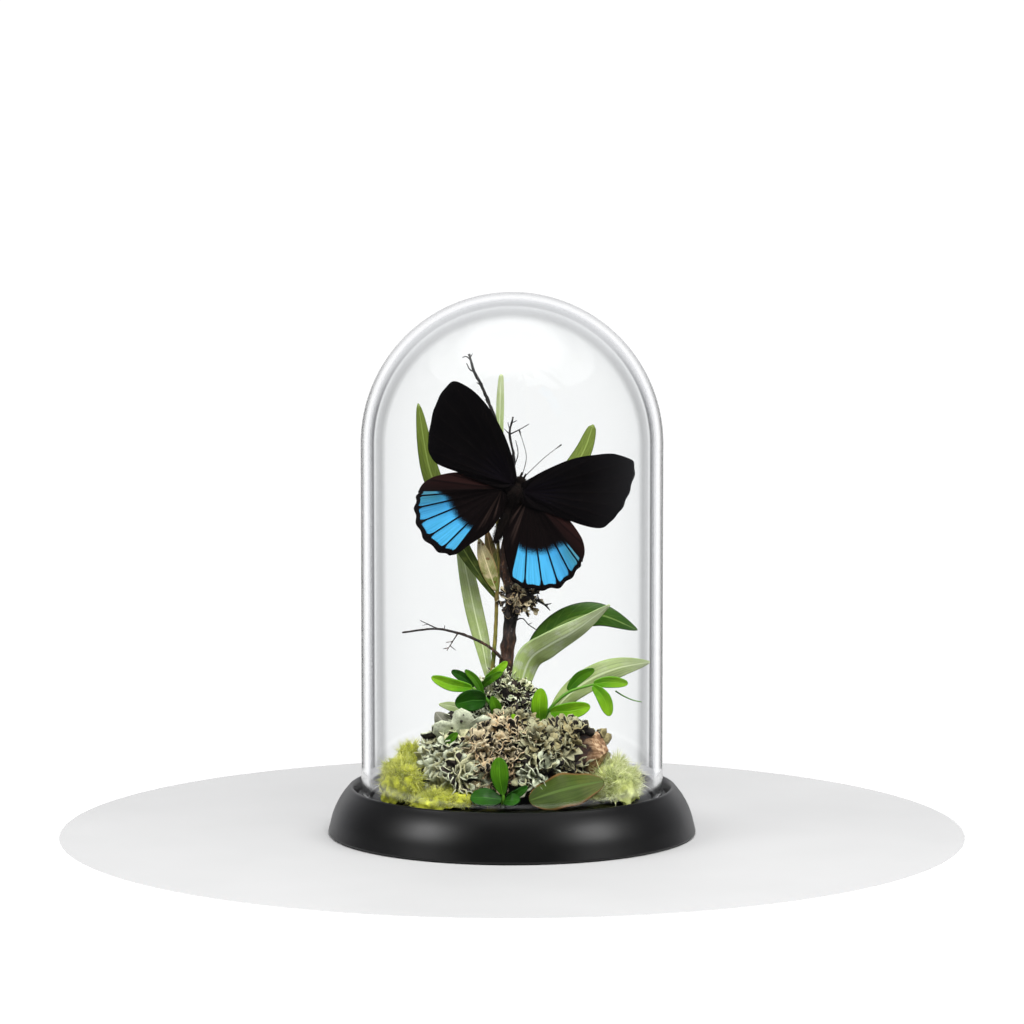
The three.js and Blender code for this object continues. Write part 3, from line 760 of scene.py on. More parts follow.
MAIN_TWIG = [(-2, 0, 34), (-2, 1.6, 44), (-2, 2, 56), (-0.7, 2, 69), (0, 2, 79), (-1.7, 1.6, 88),
             (-1.6, 1.2, 96), (0.2, 0.8, 106), (1, 0.6, 114), (1, 0.8, 118)]
UPPER_LEFT = [(0.8, 1, 117.4), (-3, 2.4, 129), (-6.2, 3.5, 139.3), (-10, 4, 148.6), (-12.4, 4.5, 153.1),
              (-14.2, 5, 159.2)]
UPPER_CENTRE = [(1.4, 0.6, 117.4), (0.6, 1.6, 122), (0.4, 1.4, 127), (-0.8, 1, 133), (0.3, 0, 138.8)]
LEFT_TWIG = [(-3, 0.4, 58.2), (-7, -0.4, 62.1), (-13.9, -0.6, 65.8), (-19.8, -1, 67.7), (-25.1, -1, 68.6),
             (-36.3, -2, 67.5)]
RIGHT_TWIG = [(1, 1, 73.6), (5.9, 0, 77.9), (9, 0, 77.6), (11.6, 0, 75.9)]

# node: route, radius, swelling of the bark, and spurs as (route, start radius)
TWIGS = {
    "twig_main": (MAIN_TWIG, thick_shoot, 0.3, [
        ([(-0.4, 1, 70), (3.3, 0, 72), (5.4, -0.6, 70), (8.3, -1, 68.1)], 0.3),
        ([(5.4, -0.6, 70), (6.6, -1, 70.6)], 0.16),
    ]),
    "twig_upper_left": (UPPER_LEFT, tapered(0.85, 0.4), 0.6, [
        ([(-12.4, 4.5, 153.4), (-13.8, 4, 154), (-15, 4, 156.2)], 0.3),
        ([(-13.6, 4.8, 157.2), (-15.2, 4.6, 158.4), (-16.4, 4.6, 158)], 0.26),
        ([(-13.8, 4.8, 158), (-13, 4.4, 159.4)], 0.2),
        ([(-10.4, 4.2, 149), (-11.6, 3.6, 149.8)], 0.24),
        ([(-8, 3.8, 144), (-9, 3.2, 144.2)], 0.2),
    ]),
    "twig_upper_centre": (UPPER_CENTRE, tapered(0.6, 0.3), 0.5, [
        ([(-0.6, 1, 133), (2.2, 0.6, 134.4), (5.6, 1, 136.3)], 0.24),
        ([(2.4, 0.6, 134.6), (3, 0.4, 133.4)], 0.16),
        ([(0.6, 1.6, 122), (2, 1, 126.5), (1.2, 0.8, 131)], 0.24),
        ([(-0.8, 1, 133), (-2.6, 0.8, 134.8)], 0.22),
        ([(-0.6, 0.9, 134), (-1.4, 0.4, 137)], 0.2),
        ([(0, 0.4, 136.8), (1.6, 0.2, 137.6)], 0.18),
    ]),
    "twig_left": (LEFT_TWIG, tapered(0.55, 0.3), 0.4, [
        ([(-24.6, -1, 68.6), (-27.5, -1, 70), (-30.4, -1, 71.4)], 0.26),
        ([(-27.8, -1, 70.1), (-29.6, -1.4, 69.8)], 0.16),
        ([(-17.8, -0.9, 67.2), (-19.5, -1.4, 64.6), (-21.5, -2, 61.5)], 0.24),
        ([(-19.6, -1.4, 64.4), (-21.8, -1.8, 64.2)], 0.2),
        ([(-20.4, -1.6, 63), (-18.6, -2, 61.6)], 0.2),
        ([(-20.8, -1.8, 62.4), (-22.9, -2, 62)], 0.18),
        ([(-22.4, -1, 68.3), (-22.2, -1.2, 69.8)], 0.18),
    ]),
    "twig_right": (RIGHT_TWIG, tapered(0.55, 0.35), 0.4, [
        ([(9, 0, 77.6), (8.4, -0.6, 80)], 0.3),
        ([(11, 0, 76.4), (13, -0.5, 77)], 0.3),
        ([(11.4, 0, 76), (12.6, -0.4, 74.6)], 0.3),
        ([(6, 0, 77.9), (5.4, -0.6, 79.8)], 0.26),
    ]),
}
SPUR_TIP = 0.45


def build_twigs():
    for node, (route, radius, lumps, spurs) in TWIGS.items():
        bm = bmesh.new()
        if node == "twig_main":
            lay_tube(bm, route, radius, around=20, along=190, lumps=lumps, lump_mm=3.2)
        else:
            lay_tube(bm, route, radius, around=9, lumps=lumps, lump_mm=1.2)
        for path, foot in spurs:
            lay_tube(bm, path, tapered(foot, foot * SPUR_TIP), around=6, lumps=0.4, lump_mm=0.8)
        piece(bm, node + "_shoot", [TWIG_BARK], node, "twig_bark")


build_twigs()

# %% [markdown]
# ## The butterfly's wings
# A butterfly's wing is a membrane held out by veins that fan from its root, and coloured by rows of tiny
# scales. The sheet is laid the same way: from the root to the outline, column by column. Its UV map counts
# the cells between the veins across, and the way from the root to the margin along, where 1 and 2 are the
# inner and outer ends of the blue band. So the finish can draw a band that is split by black veins and
# rounded at its outer end.

# %% Wing outlines and veins
THORAX = Vector((1.2, -3.2, 114))
BODY_TILT = math.radians(22.3)
WING_RAISE = math.radians(8)
FOREWING_FRONT, HINDWING_FRONT = 1.7, 1.0
WING_ACROSS, WING_ALONG = 200, 40
WING_THICKNESS = 0.16

# The outlines and the ends of the veins are [to the right, up] of the thorax's centre. The root is where the
# veins start. ends gives the inner and outer end of the blue in each cell, as a share from root to margin.
WINGS = {
    "forewing_left": dict(
        scallop=0.002,
        root=(-0.8, 3.2),
        outline=[(0.4, 5.3), (-1.5, 13.6), (-5.3, 22.9), (-10.7, 31.1), (-16.2, 36), (-20.3, 37.4),
                 (-23.3, 34.9), (-26, 30), (-27.6, 24.5), (-28.6, 15.7), (-27.6, 12.5), (-25.5, 10.3),
                 (-18.9, 7.5), (-5.3, 2), (-1, 1)],
        veins=[(-12, 32.5), (-20.3, 37.4), (-24.5, 33), (-26.8, 27.5), (-28.3, 20.5), (-28.4, 14.8),
               (-26.5, 11), (-18.9, 7.5)]),
    "forewing_right": dict(
        scallop=0.005,
        root=(2.4, 0.6),
        outline=[(2, 3.6), (11, 8.6), (19.2, 11.9), (27.4, 13.3), (32.3, 13.6), (36.1, 12.5), (38.3, 11.1),
                 (38.8, 8.6), (37.5, 2.6), (34.5, -4.6), (32.3, -7.3), (29.6, -10.1), (26.9, -10.9),
                 (23.1, -10.3), (11.1, -6.2), (1.2, -2.4)],
        veins=[(27.4, 13.3), (38, 11.6), (38.6, 6.8), (37, 1), (34.9, -3.8), (32, -7.6), (28.2, -10.7),
               (20, -9.3)]),
    "hindwing_left": dict(
        scallop=0.011,
        root=(-4.4, 1.7),
        outline=[(-2, 3.2), (-8, 5.6), (-13.5, 7), (-18.9, 7.4), (-23.3, 6.9), (-27.7, 5.6), (-30.8, 3.2),
                 (-32.9, -3), (-32.6, -8.5), (-30.4, -14), (-26.1, -18.4), (-23.3, -19.8), (-20.1, -20.1),
                 (-15.1, -16.8), (-8.6, -12.4), (-5.3, -8), (-2.4, -4)],
        veins=[(-31.9, 1.4), (-33.4, -0.3), (-33.6, -4.5), (-32.8, -9.6), (-30.5, -15.1), (-25.9, -19.8),
               (-21.1, -20.3)],
        ends=[(0.77, 0.945), (0.644, 0.96), (0.6, 0.955), (0.58, 0.95), (0.574, 0.94), (0.595, 0.925)]),
    "hindwing_right": dict(
        scallop=0.011,
        root=(4.5, -0.2),
        outline=[(1.4, 1.2), (5, 2.2), (8.5, 0.6), (11.5, -3.6), (16.4, -7.2), (19.8, -11.3), (22, -15.1),
                 (22.6, -19), (21.7, -22.3), (19.8, -25.6), (14.4, -30.6), (10, -31.4), (6.7, -31.7),
                 (-0.4, -29.5), (-2.6, -24), (-4.2, -15.1), (-3.9, -11.3), (-1.8, -6)],
        veins=[(21.6, -21.4), (20.9, -22.6), (18.1, -26.3), (14, -29.6), (8.8, -30.7), (2.9, -31.2),
               (-1.7, -27.7)],
        ends=[(0.74, 0.955), (0.665, 0.95), (0.62, 0.955), (0.615, 0.96), (0.61, 0.957), (0.61, 0.96)]),
}
VEIN_RELIEF = 0.1


# %% Wing finish
VEIN_HALF_WIDTH_MM = 0.24
# Where the hindwing's inner edge is folded in pale creases, counted in cells from the front.
FOLD_CELLS = (7.0, 8.6)
BLUE_CELLS = 6.0
BAND_COLOURS = [(0.05, "#60a8c0"), (0.22, "#4493b0"), (0.38, "#4aa6dc"), (0.6, "#54bef4"), (1.0, "#5ac4f6")]


def forewing_scales(add, axes, dust):
    """Black all over, with a faint blue black sheen painted near the root."""
    painted_sheen_near_root = add("MapRange SMOOTHSTEP", axes["Y"], 0.5, 0.05, 0.0, 0.6)
    dark = add("MixRGB", add("MapRange", dust, 0.35, 0.7, 0.0, 0.7), "#020102", "#060404")
    # Painted sheen: the blue black tint near the root stands for the violet sheen of the scales.
    return add("MixRGB", painted_sheen_near_root, dark, "#080510")


def hindwing_scales(add, axes, rays):
    """Brown black, redder towards the front, with pale creases where the inner edge is folded."""
    brown = add("MapRange SMOOTHSTEP", axes["X"], 1.0, -4.5, 0.0, 0.9)
    dark = add("MixRGB", brown, "#0b0606", "#3c211e")
    dark = add("MixRGB", add("MapRange", rays, 0.42, 0.75, 0.0, 0.12), dark, "#24140f")
    fading = add("MapRange", axes["Y"], 1.5, 0.75)
    for cell in FOLD_CELLS:
        off = add("Math ABSOLUTE", add("Math SUBTRACT", axes["X"], cell))
        fold = add("MapRange SMOOTHSTEP", off, 0.55, 0.1, 0.0, 0.8)
        dark = add("MixRGB", add("Math MULTIPLY", fold, fading), dark, "#41332e")
    return dark


def blue_band(add, axes, scales, rays, off_middle, vein, dark):
    """The sky blue cells: ragged at their inner end, rounded at the outer one and split by the veins."""
    ragged = add("Math MULTIPLY", add("Math SUBTRACT", scales, 0.5), 0.16)
    reach = add("Math ADD", axes["Y"], ragged)
    rounded = add("Math MULTIPLY", add("Math POWER", off_middle, 7.0), 0.42)
    inside = add("Math SUBTRACT", add("Math SUBTRACT", 2.0, rounded), reach)
    soft = add("Math SUBTRACT", reach, add("Math MULTIPLY", rays, 0.12))
    masks = [
        add("MapRange SMOOTHSTEP", soft, 0.86, 1.06), add("MapRange", axes["X"], -0.02, 0.03),
        add("MapRange", axes["X"], BLUE_CELLS + 0.02, BLUE_CELLS - 0.03), add("Math SUBTRACT", 1.0, vein),
    ]
    band = add("MapRange SMOOTHSTEP", inside, -0.03, 0.04)
    for mask in masks:
        band = add("Math MULTIPLY", band, mask)
    blue = add("ValToRGB", add("Math DIVIDE", axes["X"], BLUE_CELLS), stops=BAND_COLOURS)
    streak = add("ValToRGB", rays, stops=[(0.35, "#d8dde0"), (0.65, "#ffffff")])
    blue = add("MixRGB MULTIPLY", 1.0, blue, streak)
    blue = add("MixRGB", add("MapRange", reach, 1.05, 1.35, 0.35, 0.0), blue, "#3f9fe0")
    return add("MixRGB", band, dark, blue)


def wing_finish(name, banded):
    """Rows of dark scales over thin veins, and on the hindwing the blue band."""
    add, finish = new_finish(name)
    place = add("TexCoord", out="Object")
    cells = add("UVMap", uv_map="cells")
    axes = add("SeparateXYZ", cells).node.outputs
    span = add("SeparateXYZ", add("UVMap", uv_map="span")).node.outputs
    scales = add("TexNoise", Vector=place, Scale=per_mm(0.3), Detail=2.0)
    dust = add("TexNoise", Vector=place, Scale=per_mm(5), Detail=4.0)
    rays = add("TexNoise", Vector=add("VectorMath MULTIPLY", cells, (9.0, 0.7, 0.0)), Scale=1.0, Detail=5.0)
    across = add("Math SUBTRACT", add("Math FRACT", axes["X"]), 0.5)
    off_middle = add("Math MULTIPLY", add("Math ABSOLUTE", across), 2.0)
    to_vein = add("Math SUBTRACT", 0.5, add("Math MULTIPLY", off_middle, 0.5))
    to_vein = add("Math MULTIPLY", to_vein, span["X"])
    vein = add("MapRange SMOOTHSTEP", to_vein, VEIN_HALF_WIDTH_MM * 1.6, VEIN_HALF_WIDTH_MM * 0.7)
    colour = hindwing_scales(add, axes, rays) if banded else forewing_scales(add, axes, dust)
    colour = add("MixRGB", add("Math MULTIPLY", vein, 0.6), colour, "#070404")
    if banded:
        colour = blue_band(add, axes, scales, rays, off_middle, vein, colour)
    relief = add("Math ADD", add("Math MULTIPLY", scales, 0.4), vein)
    bump = add("Bump", Strength=0.35, Distance=0.06 * MM, Height=relief)
    return finish({"Base Color": colour, "Normal": bump, "Roughness": 0.85, "Specular IOR Level": 0.04})


# %% Cells of the wings
def margin_of(wing):
    """The wing's outline as a closed route, and for evenly spread shares of it the angle about the root."""
    corners = [(u, 0, v) for u, v in wing["outline"]]
    curve = Route([*corners, corners[0]])
    root = Vector((wing["root"][0], 0, wing["root"][1]))
    shares = np.linspace(0, 1, WING_ACROSS + 1)
    rays = [curve.place(s) - root for s in shares]
    angles = np.unwrap([math.atan2(ray.z, ray.x) for ray in rays])
    return rays, angles


def cell_numbers(wing, angles):
    """How many veins lie before each direction, counted on evenly past the first and the last vein."""
    root = wing["root"]
    way = np.sign(angles[-1] - angles[0])
    turned = angles * way
    ends = np.unwrap([math.atan2(v - root[1], u - root[0]) for u, v in wing["veins"]]) * way
    ends += 2 * math.pi * round((turned.mean() - ends.mean()) / (2 * math.pi))
    numbers = np.arange(len(ends), dtype=float)
    step = (ends[-1] - ends[0]) / (len(ends) - 1)
    found = np.interp(turned, ends, numbers)
    found = np.where(turned < ends[0], (turned - ends[0]) / step, found)
    found = np.where(turned > ends[-1], numbers[-1] + (turned - ends[-1]) / step, found)
    widths = np.gradient(turned) / np.maximum(np.gradient(found), 1e-6)
    return found, widths


def band_reach(share, cell, ends):
    """0 at the root, 1 and 2 at the band's inner and outer end, and 3 at the margin."""
    middles = np.arange(len(ends)) + 0.5
    inner = np.interp(cell, middles, [e[0] for e in ends])
    outer = np.interp(cell, middles, [e[1] for e in ends])
    return float(np.interp(share, [0, inner, outer, 1], [0, 1, 2, 3]))


# %% Lay out the wings
def build_wing(name, wing, front, finish, slot):
    rays, angles = margin_of(wing)
    cells, widths = cell_numbers(wing, angles)
    ends = wing.get("ends")
    last_vein = len(wing["veins"]) - 1
    root = Vector((wing["root"][0], 0, wing["root"][1]))
    bm = bmesh.new()

    def rule(u, v):
        i = round(u * WING_ACROSS)
        on_margin = 0 <= cells[i] <= last_vein
        scallop = 1 + (wing["scallop"] * math.cos(2 * math.pi * cells[i]) if on_margin else 0) * v**4
        flat = root + rays[i] * v * scallop
        reach = abs(flat.x * math.cos(BODY_TILT) - flat.z * math.sin(BODY_TILT))
        to_vein = abs(cells[i] - round(cells[i])) * widths[i] * v * rays[i].length
        relief = VEIN_RELIEF * math.exp(-((to_vein / 0.5) ** 2)) * min(1, v * 4) * (1 - v**6)
        billow = 0.35 * math.sin(math.pi * v) * math.cos(1.1 * cells[i])
        depth = front + reach * math.tan(WING_RAISE) + relief + billow
        return THORAX + Vector((flat.x, -depth, flat.z))

    laid_grid(bm, WING_ACROSS, WING_ALONG, rule)
    flat_map = bm.loops.layers.uv.verify()
    span_map = bm.loops.layers.uv.new("span")
    for face in bm.faces:
        for loop in face.loops:
            u, v = loop[flat_map].uv
            i = round(u * WING_ACROSS)
            loop[flat_map].uv = (cells[i], band_reach(v, cells[i], ends) if ends else v)
            loop[span_map].uv = (widths[i] * v * rays[i].length, v * rays[i].length)
    bmesh.ops.remove_doubles(bm, verts=bm.verts, dist=CLOSE)
    bmesh.ops.recalc_face_normals(bm, faces=bm.faces)
    made = piece(bm, name + "_membrane", [finish], name, slot)
    made.data.uv_layers[0].name = "cells"
    thicken(made, WING_THICKNESS)


FOREWING = wing_finish("black_wing_scales", banded=False)
HINDWING = wing_finish("blue_banded_wing_scales", banded=True)
for wing_name, wing_shape in WINGS.items():
    if wing_name.startswith("fore"):
        build_wing(wing_name, wing_shape, FOREWING_FRONT, FOREWING, "black_wing")
    else:
        build_wing(wing_name, wing_shape, HINDWING_FRONT, HINDWING, "blue_banded_wing")

# %% [markdown]
# ## Small things by the thousand
# Fur, moss and lichen are thousands of small alike shapes. A few patterns are modelled with care, each with
# only a few dozen faces, and numpy copies them to their places in one go, which is far quicker than an
# operator per copy. Each copy carries its own random number in U, so the finish can vary it, and its length
# in V.

# %% Patterns
def read_all(items, name, kind, width=1):
    values = np.empty(len(items) * width, kind)
    items.foreach_get(name, values)
    return values


class Pattern:
    """A small shape kept as arrays: corners of faces, UV and which finish each face has."""

    def __init__(self, bm):
        mesh = bpy.data.meshes.new("pattern")
        bm.to_mesh(mesh)
        bm.free()
        self.points = read_all(mesh.vertices, "co", float, 3).reshape(-1, 3)
        self.corners = read_all(mesh.loops, "vertex_index", int)
        self.starts = read_all(mesh.polygons, "loop_start", int)
        self.finish = read_all(mesh.polygons, "material_index", int)
        self.uv = read_all(mesh.uv_layers[0].data, "uv", float, 2).reshape(-1, 2)
        bpy.data.meshes.remove(mesh)


# %% Copies of patterns
def copies_mesh(name, patterns, placements):
    """One mesh of many copies. A placement is (pattern, 3x3 turn and scale, place in mm, number in U)."""
    points, corners, starts, finish, uvs = [], [], [], [], []
    vertex_count = corner_count = 0
    for which, turn, place, number in placements:
        pattern = patterns[which]
        points.append(pattern.points @ turn.T + place)
        corners.append(pattern.corners + vertex_count)
        starts.append(pattern.starts + corner_count)
        finish.append(pattern.finish)
        uv = pattern.uv.copy()
        uv[:, 0] = number
        uvs.append(uv)
        vertex_count += len(pattern.points)
        corner_count += len(pattern.corners)
    mesh = bpy.data.meshes.new(name)
    mesh.vertices.add(vertex_count)
    mesh.vertices.foreach_set("co", (np.concatenate(points) * MM).ravel())
    mesh.loops.add(corner_count)
    mesh.loops.foreach_set("vertex_index", np.concatenate(corners))
    all_starts = np.concatenate(starts)
    mesh.polygons.add(len(all_starts))
    mesh.polygons.foreach_set("loop_start", all_starts)
    mesh.polygons.foreach_set("material_index", np.concatenate(finish))
    mesh.uv_layers.new(name="UVMap")
    mesh.update(calc_edges=True)
    mesh.uv_layers[0].data.foreach_set("uv", np.concatenate(uvs).ravel())
    mesh.validate()
    return mesh


def turned_to(ahead, up, scale):
    """A 3x3 matrix that points a pattern's Y axis ahead and its Z axis as nearly as can be to up."""
    y = ahead / np.linalg.norm(ahead)
    x = np.cross(y, up)
    x = x / max(np.linalg.norm(x), 1e-9)
    return np.column_stack([x, y, np.cross(x, y)]) * scale


# %% Room for small copies
ROOM_RADIUS = 46.3
ROOM_FLOOR = 15.0
STUMP_CENTRE = Vector((26, -20, 30.5))
# Kept clear, as a centre and a radius: the broken wood, the papery leaf, the dotted lobe, the round leaf.
KEPT_CLEAR = [(STUMP_CENTRE, 8.2), (Vector((-22.5, -16, 40)), 6.2), (Vector((-17.3, -23, 40)), 5.6),
              (Vector((15.5, -38, 25)), 8)]
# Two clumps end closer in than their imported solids: past this x, this share of the distance is kept.
DRAWN_IN = {"lichen_left": (-19, 0.6), "lichen_twig": (-2, 0.25)}


def has_room(tip):
    """Whether a copy that ends here stays inside the glass, above the base, and off the places kept clear."""
    crowded = any((Vector(tip) - centre).length < radius for centre, radius in KEPT_CLEAR)
    return math.hypot(tip[0], tip[1]) < ROOM_RADIUS and tip[2] > ROOM_FLOOR and not crowded


def drawn_in(node, x):
    limit, share = DRAWN_IN.get(node, (-100, 1))
    return limit + (x - limit) * share if x < limit else x


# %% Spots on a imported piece
SOLID_NODES = ["base", "bark_chunk", "lichen_collar", "lichen_left", "lichen_centre", "lichen_right",
               "lichen_back", "moss_left", "moss_front", "moss_right", "moss_back"]


def triangles(node):
    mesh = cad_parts[node].data
    mesh.calc_loop_triangles()
    points = np.array([v.co for v in mesh.vertices]) / MM
    return points, np.array([t.vertices for t in mesh.loop_triangles])


def neighbours_of(node):
    points, faces = [], []
    for other in SOLID_NODES:
        if other != node:
            own_points, own_faces = triangles(other)
            faces.extend((own_faces + sum(map(len, points))).tolist())
            points.append(own_points)
    return BVHTree.FromPolygons(np.concatenate(points).tolist(), faces)


def spots(node, count, rng, clear=2.5):
    """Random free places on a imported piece's surface, clear of its neighbours, and the ways they face."""
    points, faces = triangles(node)
    a, b, c = (points[faces[:, k]] for k in range(3))
    normals = np.cross(b - a, c - a)
    areas = np.linalg.norm(normals, axis=1)
    smooth = np.zeros_like(points)
    for k in range(3):
        np.add.at(smooth, faces[:, k], normals)
    blocked = neighbours_of(node)
    found = []
    for pick in rng.choice(len(faces), size=count * 4, p=areas / areas.sum()):
        r, s = rng.random(2)
        if r + s > 1:
            r, s = 1 - r, 1 - s
        place = a[pick] * (1 - r - s) + b[pick] * r + c[pick] * s
        out = normals[pick] / areas[pick]
        rounded = smooth[faces[pick]].sum(axis=0)
        rounded /= np.linalg.norm(rounded)
        if blocked.ray_cast((place + out * 0.05).tolist(), out.tolist(), clear)[0] is None:
            found.append((place, out * 0.4 + rounded * 0.6))
        if len(found) == count:
            break
    return found


def core(bm, node, shrink, lumps, lump_mm):
    """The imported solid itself, smoothed and drawn in: the heart that shows between the small copies."""
    points, faces = triangles(node)
    verts = [bm.verts.new(p) for p in points]
    for face in faces:
        bm.faces.new([verts[i] for i in face])
    bmesh.ops.remove_doubles(bm, verts=bm.verts, dist=CLOSE)
    bmesh.ops.subdivide_edges(bm, edges=bm.edges, cuts=2, use_grid_fill=True)
    for _ in range(3):
        bmesh.ops.smooth_vert(bm, verts=bm.verts, factor=0.5, use_axis_x=True, use_axis_y=True,
                              use_axis_z=True)
    bm.normal_update()
    for vert in bm.verts:
        vert.co += vert.normal * (lumps * noise.noise(vert.co / lump_mm) - shrink)
        vert.co.x = drawn_in(node, vert.co.x)


# %% [markdown]
# ## Lichen
# The grey green crust is a leafy lichen. It grows in small thin lobes that broaden and curl up at their ends,
# overlap like shingles, and are nearly black underneath, so the crust looks like pale frills with dark gaps.
# Part of that dark is painted shade: each lobe is painted darker towards its root, and the heart under the
# lobes is near black.
# Four lobes are modelled, from a flat broad one to a narrow curly one, and scattered over the bark.


# %% Lichen finishes
def lichen_finish(name, dark, body, tip, warm):
    add, finish = new_finish(name)
    place = add("TexCoord", out="Object")
    axes = add("SeparateXYZ", add("TexCoord", out="UV")).node.outputs
    grain = add("TexNoise", Vector=place, Scale=per_mm(0.7), Detail=5.0)
    region = add("TexNoise", Vector=place, Scale=per_mm(9), Detail=2.0)
    # Painted shade: a lobe is darkest at its root, where it tucks in under its neighbours, and palest at its
    # tip.
    colour = add("ValToRGB", axes["Y"], stops=[(0.02, dark), (0.3, body), (0.85, tip)])
    tint = add("Math ADD", add("Math MULTIPLY", region, 0.6),
               add("Math MULTIPLY", axes["X"], 0.4))
    warmth = add("MapRange SMOOTHSTEP", tint, 0.42, 0.66, 0.0, 0.8)
    colour = add("MixRGB", warmth, colour, add("MixRGB MULTIPLY", 1.0, colour, warm))
    shade = add("ValToRGB", grain, stops=[(0.3, "#b4b4ae"), (0.6, "#ffffff")])
    colour = add("MixRGB MULTIPLY", 0.7, colour, shade)
    bump = add("Bump", Strength=0.6, Distance=0.15 * MM, Height=grain)
    return finish({"Base Color": colour, "Normal": bump, "Roughness": 0.88})


def plain_rough(name, deep, high, size):
    """Plain rough matter, dark low down and paler high up: horn, the underside of lichen, or the dark bark and
    painted shade under lichen lobes.
    """
    add, finish = new_finish(name)
    place = add("TexCoord", out="Object")
    grain = add("TexNoise", Vector=place, Scale=per_mm(size), Detail=6.0)
    bump = add("Bump", Strength=0.8, Distance=0.3 * MM, Height=grain)
    return finish({"Base Color": add("ValToRGB", grain, stops=[(0.35, deep), (0.7, high)]), "Normal": bump,
                   "Roughness": 0.9})


# The first colour of each lichen is the painted shade at the lobes' roots.
GREY_GREEN = lichen_finish("grey_green_lichen", "#33362a", "#9da68a", "#ccd2b6", "#f4e8cc")
BEIGE = lichen_finish("beige_lichen", "#2a1f15", "#9f8f6c", "#d4c6a4", "#fae4d0")
CURLY = lichen_finish("curly_lichen", "#606a4a", "#ccd8ac", "#eef4d6", "#f6eed6")
CRUST = lichen_finish("weathered_lichen", "#221f16", "#737258", "#a8a684", "#ecd8b4")
UNDERSIDE = plain_rough("lichen_underside", "#0f0c0a", "#3a3129", 1.5)
# Painted shade: the near black heart under the lichen lobes is partly the dark bark beneath and partly shade
# painted into the gaps.
BARK_AND_GAP_SHADE = plain_rough("dark_bark_and_painted_gap_shade", "#0d0a08", "#33261c", 2.0)


# %% Lichen lobes
LOBE_ACROSS, LOBE_ALONG = 10, 3
LOBE_THICKNESS = 0.07


def lobe_pattern(spread, scallops, notch, cup, ruffle, narrow):
    """A fan-shaped lobe one unit long, along +Y and facing +Z. Its lower skin has the second finish."""
    bm = bmesh.new()

    def rule(u, v):
        across = 2 * u - 1
        angle = across * spread * (0.35 + 0.65 * v)
        far = v * (1 - notch * (1 - abs(math.sin(math.pi * scallops * u))) * v)
        lift = cup * v * v + ruffle * v * v * math.cos(2 * math.pi * scallops * u + 2)
        waist = narrow + (1 - narrow) * v
        return Vector((math.sin(angle) * (0.18 + 0.82 * far) * waist, far * math.cos(angle),
                       lift + 0.25 * cup * across**2))

    laid_grid(bm, LOBE_ACROSS, LOBE_ALONG, rule)
    bmesh.ops.solidify(bm, geom=bm.faces[:], thickness=LOBE_THICKNESS)
    bmesh.ops.recalc_face_normals(bm, faces=bm.faces)
    bm.normal_update()
    for face in bm.faces:
        face.material_index = int(face.normal.z < -0.2)
    return Pattern(bm)


LOBES = [
    lobe_pattern(1.1, 2.5, 0.32, 0.12, 0.08, 0.55),
    lobe_pattern(0.9, 2.5, 0.38, 0.3, 0.12, 0.6),
    lobe_pattern(0.7, 2, 0.5, 0.6, 0.16, 0.6),
    lobe_pattern(0.5, 1, 0.3, 0.85, 0.2, 0.7),
]


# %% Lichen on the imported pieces
CRUST_SWELL, CRUST_SWELL_MM = 2.4, 5


def random_lobe(out, steepness, sizes, rng):
    """Which way a lobe points that stands on a surface facing out, and its length."""
    flat = np.cross(out, rng.normal(size=3))
    flat /= np.linalg.norm(flat)
    steep = rng.uniform(*steepness)
    return flat * math.cos(steep) + out * math.sin(steep), rng.uniform(*sizes)


def scatter_lobes(node, count, kinds, sizes, lift, rng, finishes):
    """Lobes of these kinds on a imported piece. lift is how steeply they stand, in radians."""
    placements = []
    for place, out in spots(node, count, rng):
        ahead, size = random_lobe(out, lift, sizes, rng)
        swell = CRUST_SWELL * noise.noise(Vector(place / CRUST_SWELL_MM))
        turn = turned_to(ahead, out, size)
        foot = place + out * (swell - 0.15 * size)
        foot[0] = drawn_in(node, foot[0])
        if has_room(foot + ahead * size):
            placements.append((rng.choice(kinds), turn, foot, rng.random()))
    bm = bmesh.new()
    # The heart is painted near black, as the shade in the gaps between lobes.
    core(bm, node, shrink=0.5, lumps=0.8, lump_mm=3)
    piece(bm, node + "_heart", [BARK_AND_GAP_SHADE], node, "lichen")
    finished(copies_mesh(node + "_lobes", LOBES, placements), node + "_lobes", finishes, slot="lichen")


# node: (how many, kinds, lengths in mm, steepness in radians, finishes)
LICHENS = {
    "lichen_left": (190, [0, 0, 1], (4.6, 7.4), (0.15, 0.8), [GREY_GREEN, UNDERSIDE]),
    "lichen_centre": (330, [0, 1, 2], (3.0, 4.8), (0.4, 1.2), [BEIGE, UNDERSIDE]),
    "lichen_right": (210, [0, 1, 2], (4.0, 6.6), (0.2, 1.0), [CRUST, UNDERSIDE]),
    "lichen_collar": (620, [1, 2, 3], (1.7, 3.2), (0.4, 1.3), [CURLY, UNDERSIDE]),
    "lichen_twig": (110, [1, 2, 3], (1.6, 3.2), (0.4, 1.4), [BEIGE, UNDERSIDE]),
    "lichen_back": (420, [0, 1, 2], (4.0, 6.6), (0.2, 1.0), [GREY_GREEN, UNDERSIDE]),
}
LICHEN_SEED = 11


def build_lichens():
    rng = np.random.default_rng(LICHEN_SEED)
    for node, (count, kinds, sizes, lift, finishes) in LICHENS.items():
        scatter_lobes(node, count, kinds, sizes, lift, rng, finishes)


build_lichens()
